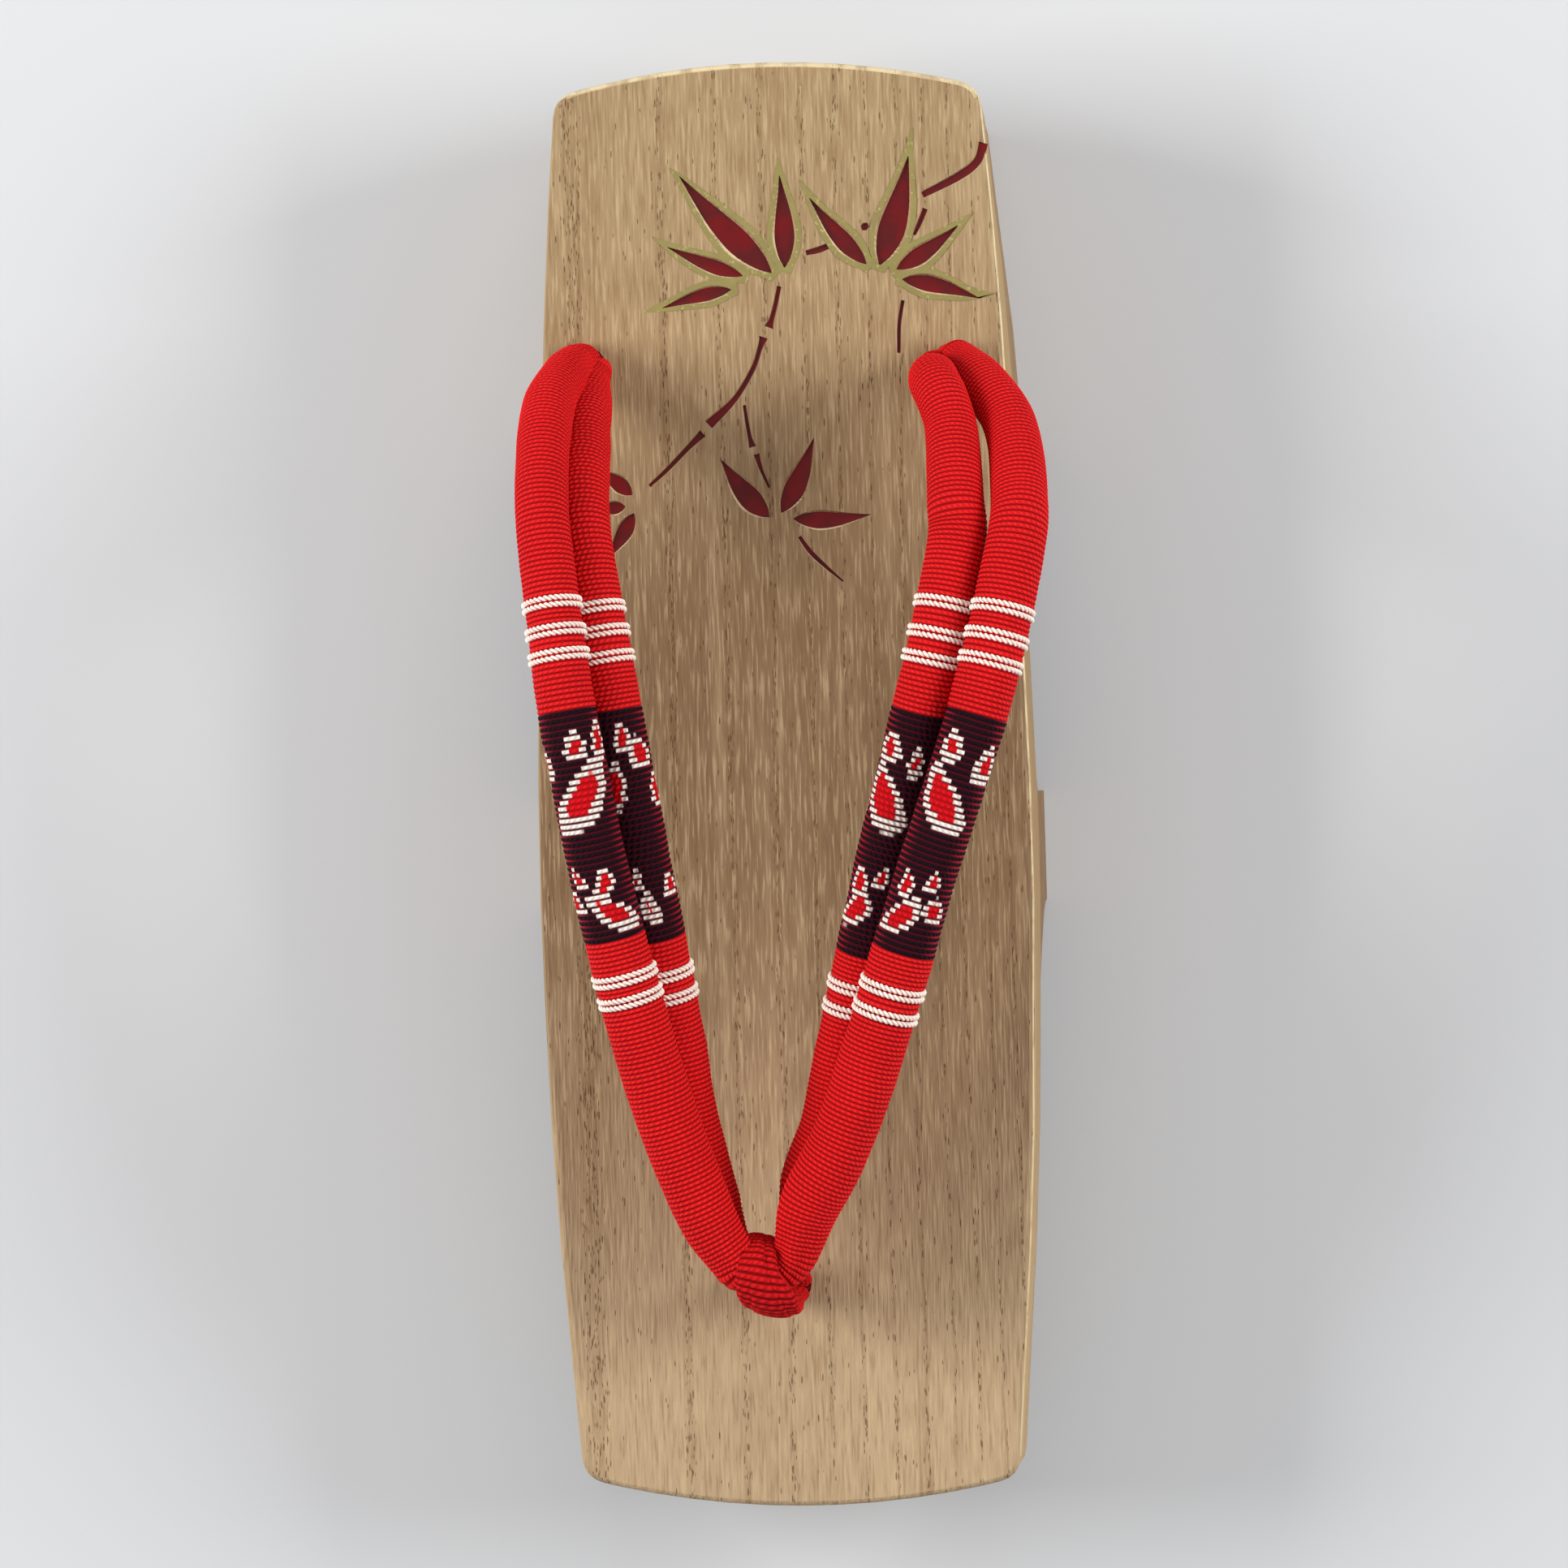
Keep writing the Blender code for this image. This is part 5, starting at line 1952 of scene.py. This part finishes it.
@dataclass
class ToeThong:
    """The padded loop that rises from the toe hole, closes over the straps and goes down again.

    Attributes:
        path: The strip's stations, in millimetres: toward the heel, up from the deck, half thickness,
            half width and how far the strip lies toward the little toe.
        turn: Turn of the loop about the toe hole, in plan.
        aside: How far the loop lies toward the big toe above the deck.
        leaving: Height over which it moves there.
        pivot_back: How far behind the toe hole the loop turns.
        samples: Steps at which the stations' curve is read.
        points_round: Points round the strip.
        weave: Its cloth.
    """

    path: tuple[tuple[float, ...], ...] = (
        (0.9, -20.0, 1.3, 2.8, 0.0),
        (0.9, -8.0, 1.4, 2.9, 0.0),
        (1.0, -1.5, 1.5, 3.2, 0.0),
        (1.2, 1.6, 2.0, 4.4, 0.35),
        (2.4, 7.0, 1.6, 3.9, -0.1),
        (5.4, 14.0, 1.2, 3.0, -2.0),
        (7.6, 20.0, 1.1, 2.7, -2.8),
        (7.6, 25.0, 1.2, 2.7, -3.0),
        (5.9, 28.9, 1.4, 3.0, -2.8),
        (3.0, 30.4, 1.6, 3.7, -2.2),
        (0.0, 29.4, 1.8, 4.9, -0.7),
        (-1.9, 26.4, 1.9, 4.9, 0.4),
        (-2.4, 20.5, 1.8, 4.8, 0.6),
        (-2.2, 14.0, 1.7, 4.5, 0.6),
        (-1.6, 7.0, 1.7, 4.2, 0.3),
        (-1.2, 1.6, 1.8, 4.4, 0.35),
        (-1.1, -1.5, 1.5, 3.2, 0.0),
        (-1.0, -8.0, 1.4, 2.9, 0.0),
        (-1.0, -20.0, 1.3, 2.8, 0.0),
    )
    turn: float = math.radians(-11)
    aside: float = -0.0012
    leaving: float = 0.020
    pivot_back: float = 0.0030
    samples: int = 400
    points_round: int = 44
    weave: Weave = THONG_WEAVE

    def sleeve(self) -> Sleeve:
        """Lay the strip along its loop."""
        last = len(self.path) - 1
        rows = [(index / last, *row) for index, row in enumerate(self.path)]
        samples = self.samples
        dense = np.array([read_rows(rows, step / samples) for step in range(samples + 1)]) * MM
        length = lengths_along(dense[:, :2])
        rings = self.weave.rings_per_rib
        count = round(length[-1] / self.weave.pitch) * rings
        at = np.linspace(0.0, length[-1], count + 1)
        back, up, half_thick, half_wide, toward = (np.interp(at, length, column) for column in dense.T)
        ahead = unit(np.gradient(np.stack([back, up], axis=1), axis=0))
        centres = np.stack([toward, back - self.pivot_back, up], axis=1)
        outward = np.stack([np.zeros(len(at)), ahead[:, 1], -ahead[:, 0]], axis=1)
        across = np.tile([1.0, 0.0, 0.0], (len(at), 1))
        spin = np.array(Matrix.Rotation(self.turn, 3, "Z")).T
        x, y = SHOE.toe_hole
        risen = np.clip(up / self.leaving, 0.0, 1.0)[:, None]
        base = np.array([x, y + self.pivot_back, SHOE.deck]) + risen * np.array([self.aside, 0.0, 0.0])
        sunk = self.weave.rib_height * self.weave.sunk
        return Sleeve(
            centres @ spin + base,
            outward @ spin,
            across @ spin,
            half_thick - sunk,
            half_wide - sunk,
            np.arange(count + 1) / rings,
            self.points_round,
        )

    def build(self, kit: Kit) -> list[bpy.types.Object]:
        """Build the thong.

        Args:
            kit: The shared groups and trees.

        Returns:
            The piece.
        """
        sleeve = self.sleeve()
        crown = float(sleeve.ribs[int(np.argmax(sleeve.centres[:, 2]))])
        dents = [
            Dent(28, 9, crown - 3, 8, 0.0007, 1.5),
            Dent(-40, 10, crown + 6, 9, 0.0005, -1.5),
            Dent(55, 9, crown + 9, 8, 0.0006, 1.0),
        ]
        thong = self.weave.cover("thong", sleeve, dents, 9.0, kit)
        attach(thong, BODY)
        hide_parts("toe_thong")
        return [thong]


@dataclass
class CordKnot:
    """A strap's cord tied off under its hole: two turns about the cord, a strand across and a cut end.

    Attributes:
        name: Name of the piece.
        node: The frame's node that it replaces.
        start_turn: Where round the hole its first turn starts, in radians.
        rope: Its cord. Shares below that have no other measure are of the cord's radius.
        in_hole: Heights of the cord's first two points above the knot.
        coil_radius: Radius of its turns.
        coil_turns: Number of its turns.
        coil_start: Radius at which the turns start, as a share of theirs.
        coil_spread: How fast they widen, in their radius for each turn.
        below: How far under the hole the first turn lies.
        pitch: How far each turn lies under the one before.
        steps_per_turn: Points in each turn.
        strand_steps: Points in the strand across.
        strand_length: Its length as a share of the turns' radius.
        strand_drop: How far it lies under the turns.
        strand_dive: How fast it dips there.
    """

    name: str
    node: str
    start_turn: float
    rope: Rope = KNOT_ROPE
    in_hole: tuple[float, ...] = (0.006, 0.001)
    coil_radius: float = 0.0043
    coil_turns: float = 1.75
    coil_start: float = 0.25
    coil_spread: float = 1.5
    below: float = 1.1
    pitch: float = 2.05
    steps_per_turn: int = 20
    strand_steps: int = 8
    strand_length: float = 2.9
    strand_drop: float = 1.5
    strand_dive: float = 1.6

    def path(self) -> list[Vector]:
        """Points of the cord, from inside the hole to its cut end."""
        low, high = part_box(self.node)
        middle, top = (low + high) / 2, high.z
        radius = self.rope.radius
        points = [Vector((middle.x, middle.y, top + height)) for height in self.in_hole]
        for step in range(int(self.coil_turns * self.steps_per_turn) + 1):
            turned = step / self.steps_per_turn
            angle = self.start_turn + math.tau * turned
            reach = self.coil_radius * min(1.0, self.coil_start + turned * self.coil_spread)
            height = top - radius * (self.below + self.pitch * turned)
            x, y = middle.x + reach * math.cos(angle), middle.y + reach * math.sin(angle)
            points.append(Vector((x, y, height)))
        last = points[-1]
        inward = Vector((middle.x - last.x, middle.y - last.y, 0)).normalized()
        for step in range(1, self.strand_steps + 1):
            share = step / self.strand_steps
            point = last + inward * (self.coil_radius * self.strand_length * share)
            dip = math.sin(min(1.0, share * self.strand_dive) * math.pi / 2)
            point.z = last.z - radius * self.strand_drop * dip
            points.append(point)
        return points

    def build(self, kit: Kit, finish: bpy.types.Material) -> list[bpy.types.Object]:
        """Build the knot.

        Args:
            kit: The shared groups and trees.
            finish: The cord's material.

        Returns:
            The piece.
        """
        knot = self.rope.lay(self.name, [self.path()], False, kit, finish)
        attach(knot, BODY)
        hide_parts(self.node)
        return [knot]


# Studio


@dataclass(frozen=True)
class Lamp:
    """A soft square light that faces the shoe.

    Attributes:
        name: Its name.
        place: Where it stands.
        size: Length of its sides.
        power: Its power in watts.
        tint: Its colour.
    """

    name: str
    place: tuple[float, float, float]
    size: float
    power: float
    tint: tuple[float, float, float]

    def build(self) -> None:
        """Add the light."""
        data = bpy.data.lights.new(self.name, "AREA")
        data.size = self.size
        data.energy = self.power
        data.color = self.tint
        lamp = bpy.data.objects.new(self.name, data)
        lamp.location = self.place
        lamp.rotation_mode = "QUATERNION"
        toward = Vector((0, 0, SHOE.deck)) - Vector(self.place)
        lamp.rotation_quaternion = toward.to_track_quat("-Z", "Y")
        bpy.context.scene.collection.objects.link(lamp)


LAMPS = (
    Lamp("left", (-1.15, 0.20, 0.80), 0.6, 17.0, (1.0, 0.985, 0.96)),
    Lamp("right", (1.15, 0.20, 0.80), 0.6, 14.0, (1.0, 0.985, 0.96)),
    Lamp("heel_fill", (0.10, 1.10, 1.20), 0.9, 3.0, (1.0, 0.99, 0.98)),
)


@dataclass
class Studio:
    """Pale floor, soft lights and a camera above the shoe, as it was photographed."""

    camera_above_deck: float = 1.4
    camera_aside: float = 0.049
    picture_size: float = 0.26036
    roll: float = math.atan(44 / 1715)
    sensor: float = 36.0
    floor_half: float = 6.0

    def camera(self) -> None:
        """Place the camera above the shoe, a little past its little toe's side and rolled as it lies."""
        data = bpy.data.cameras.new("camera")
        data.sensor_width = self.sensor
        data.lens = self.sensor * self.camera_above_deck / self.picture_size
        camera = bpy.data.objects.new("camera", data)
        right = Vector((math.cos(self.roll), -math.sin(self.roll), 0))
        up = Vector((math.sin(self.roll), math.cos(self.roll), 0))
        target = Vector((0, 0, SHOE.deck))
        place = target + right * self.camera_aside + Vector((0, 0, self.camera_above_deck))
        back = (place - target).normalized()
        side = up.cross(back).normalized()
        turned = Matrix((side, back.cross(side), back)).transposed()
        camera.matrix_world = Matrix.Translation(place) @ turned.to_4x4()
        data.clip_end = 50
        bpy.context.scene.collection.objects.link(camera)
        bpy.context.scene.camera = camera

    def build(self, kit: Kit) -> None:
        """Set up the floor, the lights, the surroundings and the camera.

        Args:
            kit: The shared groups and trees.
        """
        half = self.floor_half
        points = [(-half, -half, 0), (half, -half, 0), (half, half, 0), (-half, half, 0)]
        mesh = bpy.data.meshes.new("floor")
        mesh.from_pydata(points, [], [(0, 1, 2, 3)])
        floor = link("floor", mesh, FloorFinish().material(kit))
        for lamp in LAMPS:
            lamp.build()
        world = bpy.data.worlds.new("studio")
        world.use_nodes = True
        surroundings = world.node_tree.nodes["Background"]
        surroundings.inputs["Color"].default_value = (0.97, 0.98, 1.0, 1)
        surroundings.inputs["Strength"].default_value = 0.36
        bpy.context.scene.world = world
        bpy.context.scene.view_settings.view_transform = "Standard"
        self.camera()


def main() -> None:
    """Build the shoe's pieces round the frame and set the studio."""
    logging.basicConfig(level=logging.INFO, format="%(message)s")
    for obj in list(bpy.data.objects):
        bpy.data.objects.remove(obj, do_unlink=True)
    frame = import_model()
    kit = Kit()
    white = WHITE_CORD.material(kit)
    knot_cord = KNOT_CORD.material(kit)
    pieces = Board().build(frame, kit)
    for side, place in LOOKS:
        pieces += PaddedRoll(side, place).build(kit, white)
    pieces += ToeThong().build(kit)
    for name, node, turn in (
        ("knot_big_toe_side", "rear_knot_big_toe", 0.6),
        ("knot_little_toe_side", "rear_knot_little_toe", 2.4),
        ("knot_front", "front_knot", 4.0),
    ):
        pieces += CordKnot(name, node, turn).build(kit, knot_cord)
    Studio().build(kit)
    for piece in pieces:
        LOG.info("%s: %d faces", piece.name, len(piece.data.polygons))


if __name__ == "__main__":
    main()
